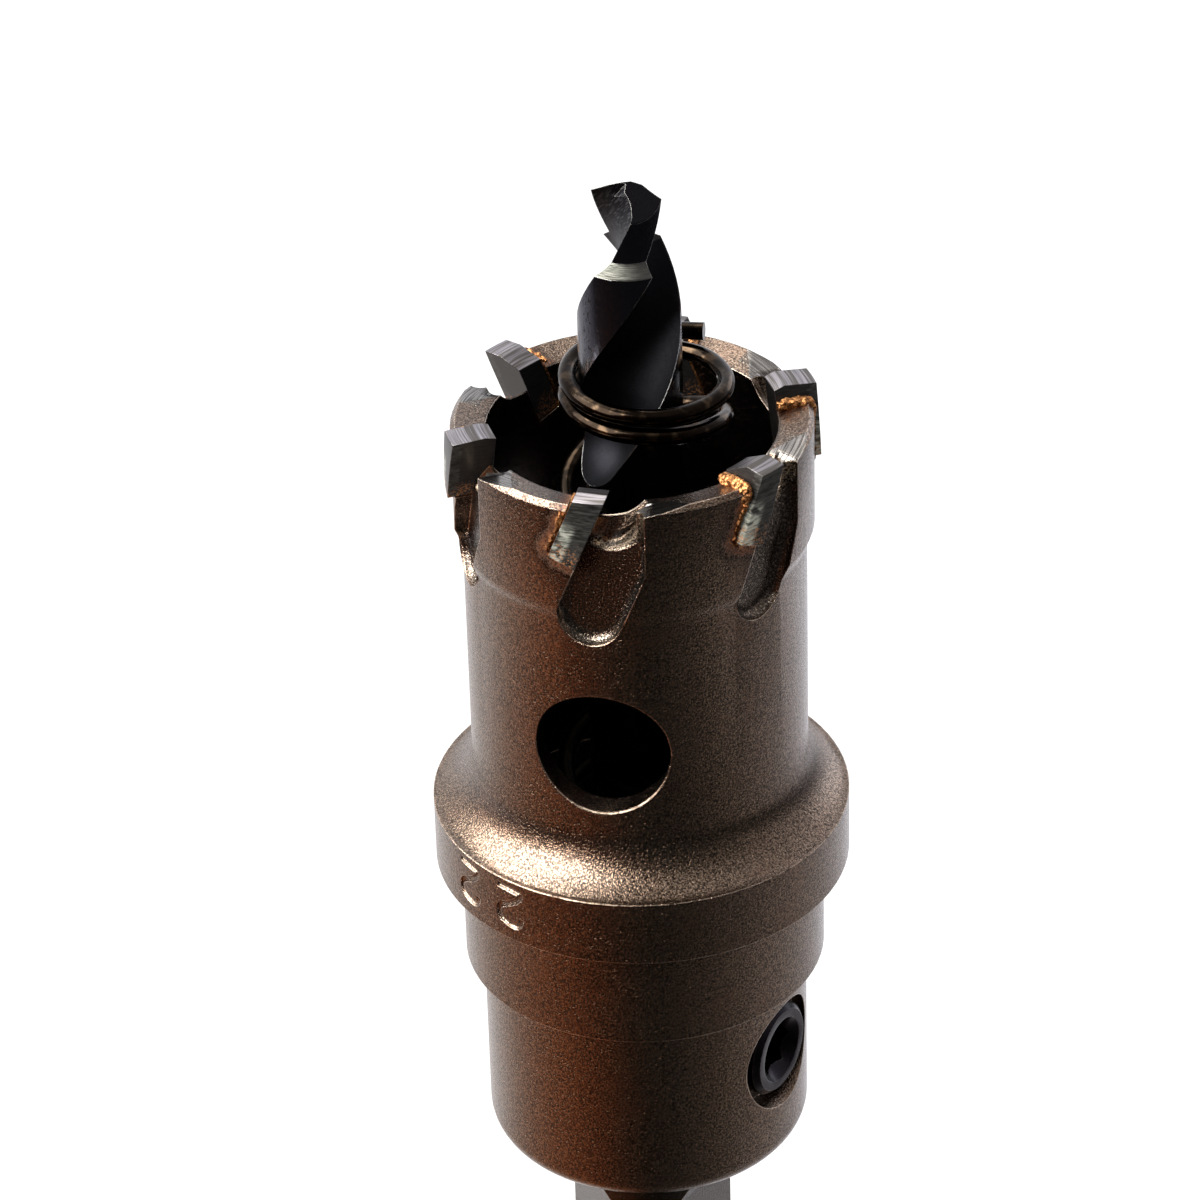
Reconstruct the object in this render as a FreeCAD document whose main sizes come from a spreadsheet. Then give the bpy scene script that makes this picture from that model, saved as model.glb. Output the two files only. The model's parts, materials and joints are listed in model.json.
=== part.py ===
import FreeCAD, Part

import math
import os

import Sketcher

# Hole saw with six brazed teeth, a stepped pilot drill and an ejector spring.
# All sizes are in millimetres and degrees.
# The origin is the centre of the shank's free end, +Z runs along the axis to the teeth,
# and -Y is the front, where one window and one tooth are.
# An azimuth is counted from the front towards +X.

SIZES = {
    # Shank with three flats
    "shank_diameter": 10.0,
    "shank_length": 28.0,
    "shank_chamfer": 0.8,
    "flat_depth": 1.0,
    "flat_start": 2.1,
    "flat_ramp": 2.4,
    "flat_azimuth": 68.0,
    # Hub, collar and flange
    "hub_diameter": 19.8,
    "hub_length": 13.1,
    "hub_edge_radius": 1.6,
    "collar_diameter": 22.0,
    "collar_length": 6.95,
    "flange_diameter": 25.1,
    "flange_thickness": 4.4,
    "edge_bevel": 0.12,
    "flange_fillet": 2.2,
    # Cup
    "neck_diameter": 20.2,
    "head_diameter": 21.1,
    "head_length": 6.8,
    "head_taper": 1.2,
    "cup_height": 25.6,
    "wall_thickness": 2.05,
    "floor_drop": 2.0,
    "rim_chamfer": 0.28,
    "rim_dip": 0.45,
    "window_diameter": 8.0,
    "window_height": 8.66,
    # Teeth
    "cut_diameter": 22.0,
    "tooth_width": 2.65,
    "tooth_thickness": 1.68,
    "tooth_length": 4.9,
    "tooth_rise": 0.7,
    "tooth_lead": 0.85,
    "tooth_lean": 22.0,
    "ridge_rise": 0.15,
    "braze_gap": 0.12,
    # Gullets
    "gullet_width": 3.85,
    "gullet_length": 9.95,
    "gullet_depth": 1.1,
    "gullet_wall": 2.95,
    "throat_radius": 1.7,
    "throat_depth": 1.45,
    "throat_slope": 59.0,
    # Ground start of each land, beside its gullet
    "facet_length": 2.4,
    "facet_depth": 0.42,
    # Pilot drill
    "pilot_diameter": 6.0,
    "pilot_clearance": 0.05,
    "pilot_seat_depth": 19.4,
    "pilot_reach": 15.33,
    "pilot_chamfer": 0.5,
    "step_diameter": 4.2,
    "step_length": 4.13,
    "shoulder_height": 0.6,
    "point_slope": 37.8,
    "point_azimuth": 114.2,
    "gash_drop": 0.13,
    "gash_web": 0.1,
    "gash_fall": 46.1,
    "gash_slope": 39.2,
    "gash_azimuth": -86.5,
    "flute_pitch": 28.5,
    "flute_radius": 2.4,
    "flute_offset": 2.85,
    "flute_length": 18.9,
    "flute_azimuth": 94.4,
    "flute_azimuth_depth": 4.96,
    # Ejector spring
    "spring_diameter": 10.15,
    "wire_diameter": 1.05,
    "spring_rise": 3.17,
    "spring_seat_gap": 0.05,
    "spring_pitch_closed": 1.2,
    "spring_turns_top": 1.75,
    "spring_turns_open": 2.75,
    "spring_turns_bottom": 1.25,
    "spring_end_azimuth": 153.0,
    "spring_shift": 0.95,
    "spring_shift_azimuth": 118.0,
    # Set screw
    "screw_diameter": 6.0,
    "screw_clearance": 0.05,
    "screw_drop": 16.5,
    "screw_azimuth": 71.5,
    "screw_recess": 0.25,
    "screw_chamfer": 0.35,
    "entry_diameter": 7.1,
    "entry_depth": 1.5,
    "socket_width": 3.0,
    "socket_depth": 2.2,
}

TOOTH_COUNT = 6
FLAT_COUNT = 3
FLUTE_COUNT = 2
# Radius of the ridge and drop of the inner end, one pair for each form of tooth top
TOOTH_FORMS = [(10.1, 0.6), (9.7, 0.45), (9.0, 0.05)]
# Corners of the spring's path in each turn
STEPS_PER_TURN = 6
# Room by which a cutting outline runs past the metal
PAST = 1.0


class Size:
    """A number and the sheet formula that gives it."""

    def __init__(self, number, text):
        self.number = float(number)
        self.text = text

    @staticmethod
    def of(value):
        return value if isinstance(value, Size) else Size(value, "(%r)" % float(value))

    def __add__(self, other):
        other = Size.of(other)
        return Size(self.number + other.number, "(%s + %s)" % (self.text, other.text))

    def __sub__(self, other):
        other = Size.of(other)
        return Size(self.number - other.number, "(%s - %s)" % (self.text, other.text))

    def __mul__(self, other):
        other = Size.of(other)
        return Size(self.number * other.number, "(%s * %s)" % (self.text, other.text))

    def __truediv__(self, other):
        other = Size.of(other)
        return Size(self.number / other.number, "(%s / %s)" % (self.text, other.text))

    def __neg__(self):
        return Size(-self.number, "(0 - %s)" % self.text)


def wave(name, angle):
    """Sine, cosine or tangent of a size in degrees."""
    function = {"sin": math.sin, "cos": math.cos, "tan": math.tan}[name]
    return Size(function(math.radians(angle.number)), "%s(%s)" % (name, angle.text))


doc = FreeCAD.newDocument("hole_saw")
sheet = doc.addObject("Spreadsheet::Sheet", "Sizes")
for row, (alias, number) in enumerate(SIZES.items(), start=1):
    sheet.set("A%d" % row, alias)
    sheet.set("B%d" % row, str(number))
    sheet.setAlias("B%d" % row, alias)
doc.recompute()


def size(alias):
    return Size(getattr(sheet, alias), "Sizes." + alias)


# Heights along the axis
shank_length = size("shank_length")
collar_bottom = shank_length + size("hub_length")
flange_bottom = collar_bottom + size("collar_length")
flange_top = flange_bottom + size("flange_thickness")
rim = flange_top + size("cup_height")
floor = flange_top - size("floor_drop")
tip = rim + size("tooth_rise")
screw_height = flange_top - size("screw_drop")
pilot_bottom = floor - size("pilot_seat_depth")
pilot_top = rim + size("pilot_reach")

# Radii
shank_radius = size("shank_diameter") / 2
hub_radius = size("hub_diameter") / 2
collar_radius = size("collar_diameter") / 2
flange_radius = size("flange_diameter") / 2
neck_radius = size("neck_diameter") / 2
head_radius = size("head_diameter") / 2
bore_radius = head_radius - size("wall_thickness")
cut_radius = size("cut_diameter") / 2
pilot_radius = size("pilot_diameter") / 2
hole_radius = pilot_radius + size("pilot_clearance")
screw_radius = size("screw_diameter") / 2

lean_sine = wave("sin", size("tooth_lean"))
lean_cosine = wave("cos", size("tooth_lean"))
lean_tangent = wave("tan", size("tooth_lean"))


def plate_point(across, along):
    """Front-view place of a point beside a leaning tooth plate.

    across is counted from the leading face, forwards, and along from the tip, upwards."""
    x = size("tooth_lead") + lean_cosine * across + lean_sine * along
    z = tip - lean_sine * across + lean_cosine * along
    return x, z


def plate_at_height(across, z):
    """Front-view place of a line parallel to the leading face, at a height."""
    x = size("tooth_lead") + lean_tangent * (z - tip) + Size.of(across) / lean_cosine
    return x, z


def origin_feature(body, role):
    return next(item for item in body.Origin.OriginFeatures if item.Role == role)


def new_body(name):
    body = doc.addObject("PartDesign::Body", name)
    body.Label = name
    return body


def new_sketch(body, name, role, turn, start):
    """Sketch on an origin plane, turned about its upright axis and moved out along its normal."""
    sketch = body.newObject("Sketcher::SketchObject", name)
    sketch.AttachmentSupport = [(origin_feature(body, role), "")]
    sketch.MapMode = "FlatFace"
    turned = FreeCAD.Rotation(FreeCAD.Vector(0, 1, 0), turn.number)
    moves = {"x": start * wave("sin", turn), "z": start * wave("cos", turn)}
    base = FreeCAD.Vector(moves["x"].number, 0, moves["z"].number)
    sketch.AttachmentOffset = FreeCAD.Placement(base, turned)
    sketch.setExpression("AttachmentOffset.Rotation.Angle", turn.text)
    for letter, move in moves.items():
        sketch.setExpression("AttachmentOffset.Base." + letter, move.text)
    return sketch


def front_sketch(body, name, azimuth=0, start=0):
    """Sketch seen from outside at an azimuth and a distance from the axis: y is height."""
    return new_sketch(body, name, "XZ_Plane", Size.of(azimuth), Size.of(start))


def radial_sketch(body, name, azimuth=0):
    """Sketch in a plane through the axis: x is the radius at an azimuth, y is height."""
    return new_sketch(body, name, "XZ_Plane", Size.of(azimuth) - 90, Size.of(0))


def hold(sketch, kind, places, value):
    """Dimension that follows the sheet."""
    index = sketch.addConstraint(Sketcher.Constraint(kind, *places, value.number))
    sketch.setExpression("Constraints[%d]" % index, value.text)


def hold_point(sketch, geometry, end, x, y):
    for kind, axis, value in (("DistanceX", -2, Size.of(x)), ("DistanceY", -1, Size.of(y))):
        if value.number == 0:
            sketch.addConstraint(Sketcher.Constraint("PointOnObject", geometry, end, axis))
        else:
            hold(sketch, kind, (-1, 1, geometry, end), value)


def arc_through(first, last, radius, turns_left):
    """Arc of a given radius between two points, turning left or right on its way."""
    chord = last - first
    middle = (first + last) * 0.5
    side = FreeCAD.Vector(-chord.y, chord.x, 0).normalize()
    rise = math.sqrt(max(radius ** 2 - (chord.Length / 2) ** 2, 0))
    centre = middle + side * (rise if turns_left else -rise)
    ends = (first, last) if turns_left else (last, first)
    angles = [math.atan2(point.y - centre.y, point.x - centre.x) for point in ends]
    circle = Part.Circle(centre, FreeCAD.Vector(0, 0, 1), radius)
    return Part.ArcOfCircle(circle, angles[0], angles[1])


def draw_outline(sketch, corners):
    """Closed outline: each corner is x, y and, where an arc leaves it, (radius, turns_left).

    A half circle also gives its centre's y, because its radius alone doesn't hold it."""
    points = [FreeCAD.Vector(Size.of(c[0]).number, Size.of(c[1]).number, 0) for c in corners]
    ends = []
    for index, corner in enumerate(corners):
        first = points[index]
        last = points[(index + 1) % len(points)]
        if len(corner) == 3:
            radius, turns_left = corner[2][:2]
            sketch.addGeometry(arc_through(first, last, radius.number, turns_left))
            ends.append((1, 2) if turns_left else (2, 1))
        else:
            sketch.addGeometry(Part.LineSegment(first, last))
            ends.append((1, 2))
    for index, corner in enumerate(corners):
        before = index - 1 if index else len(corners) - 1
        joint = (before, ends[before][1], index, ends[index][0])
        sketch.addConstraint(Sketcher.Constraint("Coincident", *joint))
        hold_point(sketch, index, ends[index][0], corner[0], corner[1])
        if len(corner) == 3 and len(corner[2]) == 3:
            hold(sketch, "DistanceY", (-1, 1, index, 3), corner[2][2])
        elif len(corner) == 3:
            hold(sketch, "Radius", (index,), corner[2][0])


def draw_circle(sketch, x, y, radius):
    centre = FreeCAD.Vector(Size.of(x).number, Size.of(y).number, 0)
    index = sketch.addGeometry(Part.Circle(centre, FreeCAD.Vector(0, 0, 1), radius.number))
    hold_point(sketch, index, 3, x, y)
    hold(sketch, "Radius", (index,), radius)


def turn_profile(body, name, sketch, kind="Revolution"):
    feature = body.newObject("PartDesign::" + kind, name)
    feature.Profile = sketch
    feature.ReferenceAxis = (sketch, ["V_Axis"])
    feature.Angle = 360
    return feature


def push_profile(body, name, sketch, kind, length, both_ways=False):
    """Pad or pocket of a length, outwards from the sketch or both ways."""
    feature = body.newObject("PartDesign::" + kind, name)
    feature.Profile = sketch
    feature.Length = length.number
    feature.setExpression("Length", length.text)
    feature.Reversed = kind == "Pocket"
    if both_ways:
        feature.SideType = "Symmetric"
    return feature


def aim(feature, x, y, z):
    """Push a profile in a direction of its own."""
    feature.UseCustomVector = True
    feature.AlongSketchNormal = False
    feature.Direction = FreeCAD.Vector(x.number, y.number, z.number)
    for letter, part in zip("xyz", (x, y, z)):
        feature.setExpression("Direction." + letter, part.text)


def repeat_round(body, name, feature, count):
    pattern = body.newObject("PartDesign::PolarPattern", name)
    pattern.Originals = [feature]
    pattern.Axis = (origin_feature(body, "Z_Axis"), [""])
    pattern.Angle = 360
    pattern.Occurrences = count
    body.Tip = pattern
    return pattern


def body_blank(body):
    """Turned shape of the shank, hub, collar, flange and cup."""
    chamfer = size("shank_chamfer")
    edge = size("hub_edge_radius")
    bevel = size("edge_bevel")
    fillet = size("flange_fillet")
    head_bottom = rim - size("head_length")
    sketch = radial_sketch(body, "body_profile")
    draw_outline(sketch, [
        (0, 0),
        (shank_radius - chamfer, 0),
        (shank_radius, chamfer),
        (shank_radius, shank_length),
        (hub_radius - edge, shank_length, (edge, True)),
        (hub_radius, shank_length + edge),
        (hub_radius, collar_bottom),
        (collar_radius - bevel, collar_bottom),
        (collar_radius, collar_bottom + bevel),
        (collar_radius, flange_bottom),
        (flange_radius - bevel, flange_bottom),
        (flange_radius, flange_bottom + bevel),
        (flange_radius, flange_top - bevel),
        (flange_radius - bevel, flange_top),
        (neck_radius + fillet, flange_top, (fillet, False)),
        (neck_radius, flange_top + fillet),
        (neck_radius, head_bottom - size("head_taper")),
        (head_radius, head_bottom),
        (head_radius, rim - size("rim_chamfer")),
        (head_radius - size("rim_chamfer"), rim),
        (bore_radius, rim - size("rim_dip")),
        (bore_radius, floor),
        (hole_radius, floor),
        (hole_radius, pilot_bottom),
        (0, pilot_bottom),
    ])
    turn_profile(body, "body_turned", sketch)


def body_windows(body):
    sketch = front_sketch(body, "window_circle")
    draw_circle(sketch, 0, flange_top + size("window_height"), size("window_diameter") / 2)
    push_profile(body, "windows", sketch, "Pocket", neck_radius * 4, both_ways=True)


def body_screw_hole(body):
    azimuth = size("screw_azimuth")
    through = front_sketch(body, "screw_circle", azimuth)
    draw_circle(through, 0, screw_height, screw_radius + size("screw_clearance"))
    push_profile(body, "screw_hole", through, "Pocket", hub_radius + PAST)
    entry = front_sketch(body, "entry_circle", azimuth, hub_radius - size("entry_depth"))
    draw_circle(entry, 0, screw_height, size("entry_diameter") / 2)
    push_profile(body, "screw_entry", entry, "Pocket", size("entry_depth") + PAST)


def body_flats(body):
    """Flats that run out in a ramp below the hub."""
    inner = shank_radius - size("flat_depth")
    ramp_top = shank_length - size("flat_start")
    ramp_bottom = ramp_top - size("flat_ramp")
    sketch = radial_sketch(body, "flat_outline", size("flat_azimuth"))
    draw_outline(sketch, [
        (inner, Size.of(-PAST)),
        (shank_radius + PAST, Size.of(-PAST)),
        (shank_radius + PAST, ramp_top),
        (shank_radius, ramp_top),
        (inner, ramp_bottom),
    ])
    flat = push_profile(body, "flat", sketch, "Pocket", size("shank_diameter") * 2, both_ways=True)
    repeat_round(body, "flats", flat, FLAT_COUNT)


def body_gullets(body):
    """Slot in front of each tooth, with a round lower end and an upright far wall."""
    radius = size("gullet_width") / 2
    centre = radius - size("gullet_length")
    top = tip + PAST
    wall = size("gullet_wall")
    bend = tip + (wall - plate_at_height(size("gullet_width"), tip)[0]) / lean_tangent
    sketch = front_sketch(body, "gullet_outline", start=head_radius - size("gullet_depth"))
    draw_outline(sketch, [
        plate_at_height(0, top),
        plate_point(Size.of(0), centre) + ((radius, True, plate_point(radius, centre)[1]),),
        plate_point(size("gullet_width"), centre),
        (wall, bend),
        (wall, top),
    ])
    gullet = push_profile(body, "gullet", sketch, "Pocket", size("gullet_depth") + PAST)
    repeat_round(body, "gullets", gullet, TOOTH_COUNT)


def body_throats(body):
    """Steep scoop through the rim, from the bore down into each gullet."""
    radius = size("throat_radius")
    bottom = rim - size("throat_depth")
    top = tip + PAST * 3
    slope_sine = wave("sin", size("throat_slope"))
    slope_cosine = wave("cos", size("throat_slope"))
    sketch = front_sketch(body, "throat_outline", start=bore_radius)
    wall = size("gullet_wall")
    draw_outline(sketch, [
        plate_at_height(0, top),
        plate_at_height(0, bottom),
        (wall - radius, bottom, (radius, True)),
        (wall, bottom + radius),
        (wall, top),
    ])
    reach = (head_radius - bore_radius) / slope_cosine
    throat = push_profile(body, "throat", sketch, "Pocket", reach)
    throat.SideType = "Two sides"
    throat.Length2 = reach.number
    throat.setExpression("Length2", reach.text)
    aim(throat, -lean_sine * slope_sine, -slope_cosine, -lean_cosine * slope_sine)
    repeat_round(body, "throats", throat, TOOTH_COUNT)


def body_facets(body):
    """Sloping facet ground across the start of each land."""
    wall = size("gullet_wall")
    depth = size("facet_depth")
    slope = depth / size("facet_length")
    sketch = front_sketch(body, "facet_outline")
    draw_outline(sketch, [
        (wall - PAST, rim - depth - slope * PAST),
        (wall + size("facet_length") + PAST, rim + slope * PAST),
        (wall - PAST, rim + slope * PAST),
    ])
    facet = push_profile(body, "facet", sketch, "Pocket", head_radius + PAST)
    repeat_round(body, "facets", facet, TOOTH_COUNT)


def seat_corners():
    """Leaning slot that takes a tooth plate and the braze behind and below it."""
    gap = size("braze_gap")
    back = -(size("tooth_thickness") + gap)
    foot = -(size("tooth_length") + gap)
    return back, foot


def body_seats(body):
    back, foot = seat_corners()
    top = tip + PAST
    sketch = front_sketch(body, "seat_outline", start=bore_radius - size("wall_thickness"))
    draw_outline(sketch, [
        plate_at_height(back, top),
        plate_point(back, foot),
        plate_point(Size.of(0), foot),
        plate_at_height(0, top),
    ])
    seat = push_profile(body, "seat", sketch, "Pocket", size("wall_thickness") * 3)
    repeat_round(body, "seats", seat, TOOTH_COUNT)


def make_cutter_body():
    body = new_body("cutter_body")
    body_blank(body)
    body_windows(body)
    body_screw_hole(body)
    body_flats(body)
    body_gullets(body)
    body_throats(body)
    body_facets(body)
    body_seats(body)
    return body


def turn_about_axis(body, copy):
    """Place a sub-part made at the front as one of the six round the rim."""
    turned = FreeCAD.Rotation(FreeCAD.Vector(0, 0, 1), 360.0 / TOOTH_COUNT * copy)
    body.Placement = FreeCAD.Placement(FreeCAD.Vector(), turned)


def make_tooth(copy):
    """Leaning plate with a round outer face and a two-sided ground top."""
    ridge_radius, inner_drop = TOOTH_FORMS[copy % len(TOOTH_FORMS)]
    body = new_body("tooth_%d" % (copy + 1))
    thickness = size("tooth_thickness")
    length = size("tooth_length")
    inner = cut_radius - size("tooth_width")
    plate = front_sketch(body, "plate_outline_%d" % copy, start=inner)
    draw_outline(plate, [
        plate_at_height(-thickness, tip + PAST),
        plate_point(-thickness, -length),
        plate_point(Size.of(0), -length),
        plate_at_height(0, tip + PAST),
    ])
    push_profile(body, "plate_%d" % copy, plate, "Pad", size("tooth_width") + PAST)
    outside = radial_sketch(body, "outside_%d" % copy)
    draw_outline(outside, [
        (cut_radius, tip - length * 2),
        (cut_radius + PAST * 3, tip - length * 2),
        (cut_radius + PAST * 3, tip + length),
        (cut_radius, tip + length),
    ])
    turn_profile(body, "round_face_%d" % copy, outside, "Groove")
    ridge = tip + size("ridge_rise")
    outer_slope = size("ridge_rise") / (cut_radius - ridge_radius)
    inner_slope = (size("ridge_rise") + inner_drop) / (Size.of(ridge_radius) - inner)
    top = radial_sketch(body, "top_%d" % copy)
    draw_outline(top, [
        (inner - PAST, tip - inner_drop - inner_slope * PAST),
        (ridge_radius, ridge),
        (cut_radius + PAST, tip - outer_slope * PAST),
        (cut_radius + PAST, tip + length),
        (inner - PAST, tip + length),
    ])
    push_profile(body, "ground_top_%d" % copy, top, "Pocket", length * 2, both_ways=True)
    turn_about_axis(body, copy)
    return body


def make_braze(copy):
    """Seam of filler metal behind and below a tooth, trimmed to the wall."""
    back, foot = seat_corners()
    thickness = size("tooth_thickness")
    length = size("tooth_length")
    body = new_body("braze_seam_%d" % (copy + 1))
    top = rim - size("rim_chamfer")
    start = bore_radius - size("wall_thickness")
    seam = front_sketch(body, "seam_outline_%d" % copy, start=start)
    draw_outline(seam, [
        plate_at_height(back, top),
        plate_point(back, foot),
        plate_point(Size.of(0), foot),
        plate_point(Size.of(0), -length),
        plate_point(-thickness, -length),
        plate_at_height(-thickness, top),
    ])
    push_profile(body, "seam_%d" % copy, seam, "Pad", size("wall_thickness") * 3)
    inside = radial_sketch(body, "seam_inside_%d" % copy)
    outside = radial_sketch(body, "seam_outside_%d" % copy)
    low = tip - length * 2
    high = tip + length
    draw_outline(inside, [(0, low), (bore_radius, low), (bore_radius, high), (0, high)])
    wide = cut_radius + size("wall_thickness") * 2
    draw_outline(outside, [(head_radius, low), (wide, low), (wide, high), (head_radius, high)])
    turn_profile(body, "seam_bore_%d" % copy, inside, "Groove")
    turn_profile(body, "seam_rim_%d" % copy, outside, "Groove")
    turn_about_axis(body, copy)
    return body


def place(item, axis, angle, base):
    """Placement that follows the sheet: a turn about an axis, then a move."""
    numbers = [part.number for part in base]
    turned = FreeCAD.Rotation(FreeCAD.Vector(*axis), angle.number)
    item.Placement = FreeCAD.Placement(FreeCAD.Vector(*numbers), turned)
    item.setExpression("Placement.Rotation.Angle", angle.text)
    for letter, part in zip("xyz", base):
        item.setExpression("Placement.Base." + letter, part.text)


def follow(item, **properties):
    for name, value in properties.items():
        setattr(item, name, value.number)
        item.setExpression(name, value.text)


def make_drill_blank():
    """Turned and ground shape of the drill, before its flutes."""
    body = new_body("drill_blank")
    step_radius = size("step_diameter") / 2
    shoulder_top = pilot_top - size("step_length")
    chamfer = size("pilot_chamfer")
    profile = radial_sketch(body, "drill_profile")
    draw_outline(profile, [
        (0, pilot_bottom),
        (pilot_radius - chamfer, pilot_bottom),
        (pilot_radius, pilot_bottom + chamfer),
        (pilot_radius, shoulder_top - size("shoulder_height")),
        (step_radius, shoulder_top),
        (step_radius, pilot_top),
        (0, pilot_top),
    ])
    turn_profile(body, "drill_turned", profile)
    grind_point(body)
    grind_gashes(body)
    return body


def grind_point(body):
    """Two sloping flanks that meet in the chisel edge."""
    wide = size("step_diameter")
    drop = wide * wave("tan", size("point_slope"))
    sketch = front_sketch(body, "point_outline", size("point_azimuth"))
    draw_outline(sketch, [
        (wide, pilot_top - drop),
        (wide, pilot_top + PAST),
        (-wide, pilot_top + PAST),
        (-wide, pilot_top - drop),
        (0, pilot_top),
    ])
    push_profile(body, "point", sketch, "Pocket", wide * 2, both_ways=True)


def grind_gashes(body):
    """Notch from the chisel edge down each heel, which thins the web."""
    wide = size("step_diameter")
    web = size("gash_web")
    bottom = pilot_top - size("gash_drop")
    sketch = front_sketch(body, "gash_outline", size("gash_azimuth"))
    draw_outline(sketch, [
        (web, bottom),
        (wide, bottom - wide * wave("tan", size("gash_fall"))),
        (wide, pilot_top + wide),
        (web, pilot_top + wide),
    ])
    gash = push_profile(body, "gash", sketch, "Pocket", wide * 2)
    gash.Reversed = False
    outwards = wave("sin", size("gash_slope"))
    x = outwards * wave("sin", size("gash_azimuth"))
    y = -(outwards * wave("cos", size("gash_azimuth")))
    aim(gash, x, y, -wave("cos", size("gash_slope")))
    repeat_round(body, "gashes", gash, FLUTE_COUNT)


def make_flute(copy):
    """Round groove along a helix, with a ball-shaped lower end.

    Its azimuth is known at one depth below the point, and the helix gives the rest."""
    radius = size("flute_radius")
    offset = size("flute_offset")
    pitch = size("flute_pitch")
    start = pilot_top - size("flute_length") + radius
    climb = pilot_top - size("flute_azimuth_depth") - start
    azimuth = size("flute_azimuth") + 360.0 / FLUTE_COUNT * copy - climb * 360 / pitch
    path = doc.addObject("Part::Helix", "flute_path_%d" % copy)
    follow(path, Pitch=pitch, Height=pilot_top + PAST - start, Radius=offset)
    section = doc.addObject("Part::Circle", "flute_circle_%d" % copy)
    follow(section, Radius=radius)
    slope = offset * (2 * math.pi) / pitch
    tilt = Size(math.degrees(math.atan(slope.number)), "atan(%s)" % slope.text)
    place(section, (-1, 0, 0), tilt, (offset, Size.of(0), Size.of(0)))
    groove = doc.addObject("Part::Sweep", "flute_groove_%d" % copy)
    groove.Sections = [section]
    groove.Spine = (path, ["Edge1"])
    groove.Solid = True
    groove.Frenet = True
    place(groove, (0, 0, 1), azimuth - 90, (Size.of(0), Size.of(0), start))
    end = doc.addObject("Part::Sphere", "flute_end_%d" % copy)
    follow(end, Radius=radius)
    x = offset * wave("sin", azimuth)
    y = -(offset * wave("cos", azimuth))
    place(end, (0, 0, 1), Size.of(0), (x, y, start))
    return [groove, end]


def make_pilot_drill():
    """Stepped twist drill that stands on the bottom of its hole."""
    cutters = [item for copy in range(FLUTE_COUNT) for item in make_flute(copy)]
    flutes = doc.addObject("Part::MultiFuse", "flutes")
    flutes.Shapes = cutters
    drill = doc.addObject("Part::Cut", "pilot_drill")
    drill.Label = "pilot_drill"
    drill.Base = make_drill_blank()
    drill.Tool = flutes
    return drill


def make_set_screw():
    """Hexagon socket set screw that bears on the drill."""
    body = new_body("set_screw")
    chamfer = size("screw_chamfer")
    inner = pilot_radius + size("screw_clearance")
    outer = hub_radius - size("screw_recess")
    azimuth = size("screw_azimuth")
    circle = front_sketch(body, "screw_round", azimuth, inner)
    draw_circle(circle, 0, screw_height, screw_radius)
    blank = push_profile(body, "screw_blank", circle, "Pad", outer - inner)
    doc.recompute()
    edges = [
        "Edge%d" % (index + 1)
        for index, edge in enumerate(blank.Shape.Edges)
        if isinstance(edge.Curve, Part.Circle)
    ]
    rounded = body.newObject("PartDesign::Chamfer", "screw_ends")
    rounded.Base = (blank, edges)
    rounded.Size = chamfer.number
    rounded.setExpression("Size", chamfer.text)
    socket = front_sketch(body, "socket_outline", azimuth, outer - size("socket_depth"))
    half = size("socket_width") / 2
    corner = half / wave("cos", Size(30, "30"))
    draw_outline(socket, [
        (corner, screw_height),
        (corner / 2, screw_height + half),
        (-(corner / 2), screw_height + half),
        (-corner, screw_height),
        (-(corner / 2), screw_height - half),
        (corner / 2, screw_height - half),
    ])
    push_profile(body, "socket", socket, "Pocket", size("socket_depth") + PAST)
    return body


def spring_path():
    """Corners of the coil's path, from its upper end down."""
    wire = size("wire_diameter").number
    # The corners lie outside the coil, so that the arcs between them follow it
    radius = (size("spring_diameter").number - wire) / 2 / math.cos(math.pi / STEPS_PER_TURN)
    closed = size("spring_pitch_closed").number
    turns = [size("spring_turns_" + part).number for part in ("top", "open", "bottom")]
    upper = (rim + size("spring_rise")).number
    lower = floor.number + size("spring_seat_gap").number + wire / 2
    opened = (upper - lower - closed * (turns[0] + turns[2])) / turns[1]
    start = size("spring_end_azimuth").number
    shift = size("spring_shift").number
    shift_azimuth = math.radians(size("spring_shift_azimuth").number)
    steps = round(sum(turns) * STEPS_PER_TURN)
    points = []
    for step in range(steps + 1):
        done = step / STEPS_PER_TURN
        in_top = min(done, turns[0])
        in_open = min(max(done - turns[0], 0), turns[1])
        in_bottom = max(done - turns[0] - turns[1], 0)
        z = upper - closed * (in_top + in_bottom) - opened * in_open
        azimuth = math.radians(start + 360 * done)
        lean = shift * (z - lower) / (upper - lower)
        x = radius * math.sin(azimuth) + lean * math.sin(shift_azimuth)
        y = -radius * math.cos(azimuth) - lean * math.cos(shift_azimuth)
        points.append(FreeCAD.Vector(x, y, z))
    return points


def smooth_wire(points, share=0.47):
    """Straight runs joined by tangent arcs that take up most of each run."""
    edges = []
    here = points[0]
    for before, corner, after in zip(points, points[1:], points[2:]):
        back = (before - corner).normalize()
        ahead = (after - corner).normalize()
        cut = share * min((before - corner).Length, (after - corner).Length)
        start = corner + back * cut
        end = corner + ahead * cut
        half_turn = (math.pi - back.getAngle(ahead)) / 2
        radius = cut / math.tan(half_turn)
        inwards = (back + ahead).normalize()
        centre = corner + inwards * (radius / math.cos(half_turn))
        middle = centre - inwards * radius
        edges.append(Part.LineSegment(here, start).toShape())
        edges.append(Part.Arc(start, middle, end).toShape())
        here = end
    edges.append(Part.LineSegment(here, points[-1]).toShape())
    return Part.Wire(edges)


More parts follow.
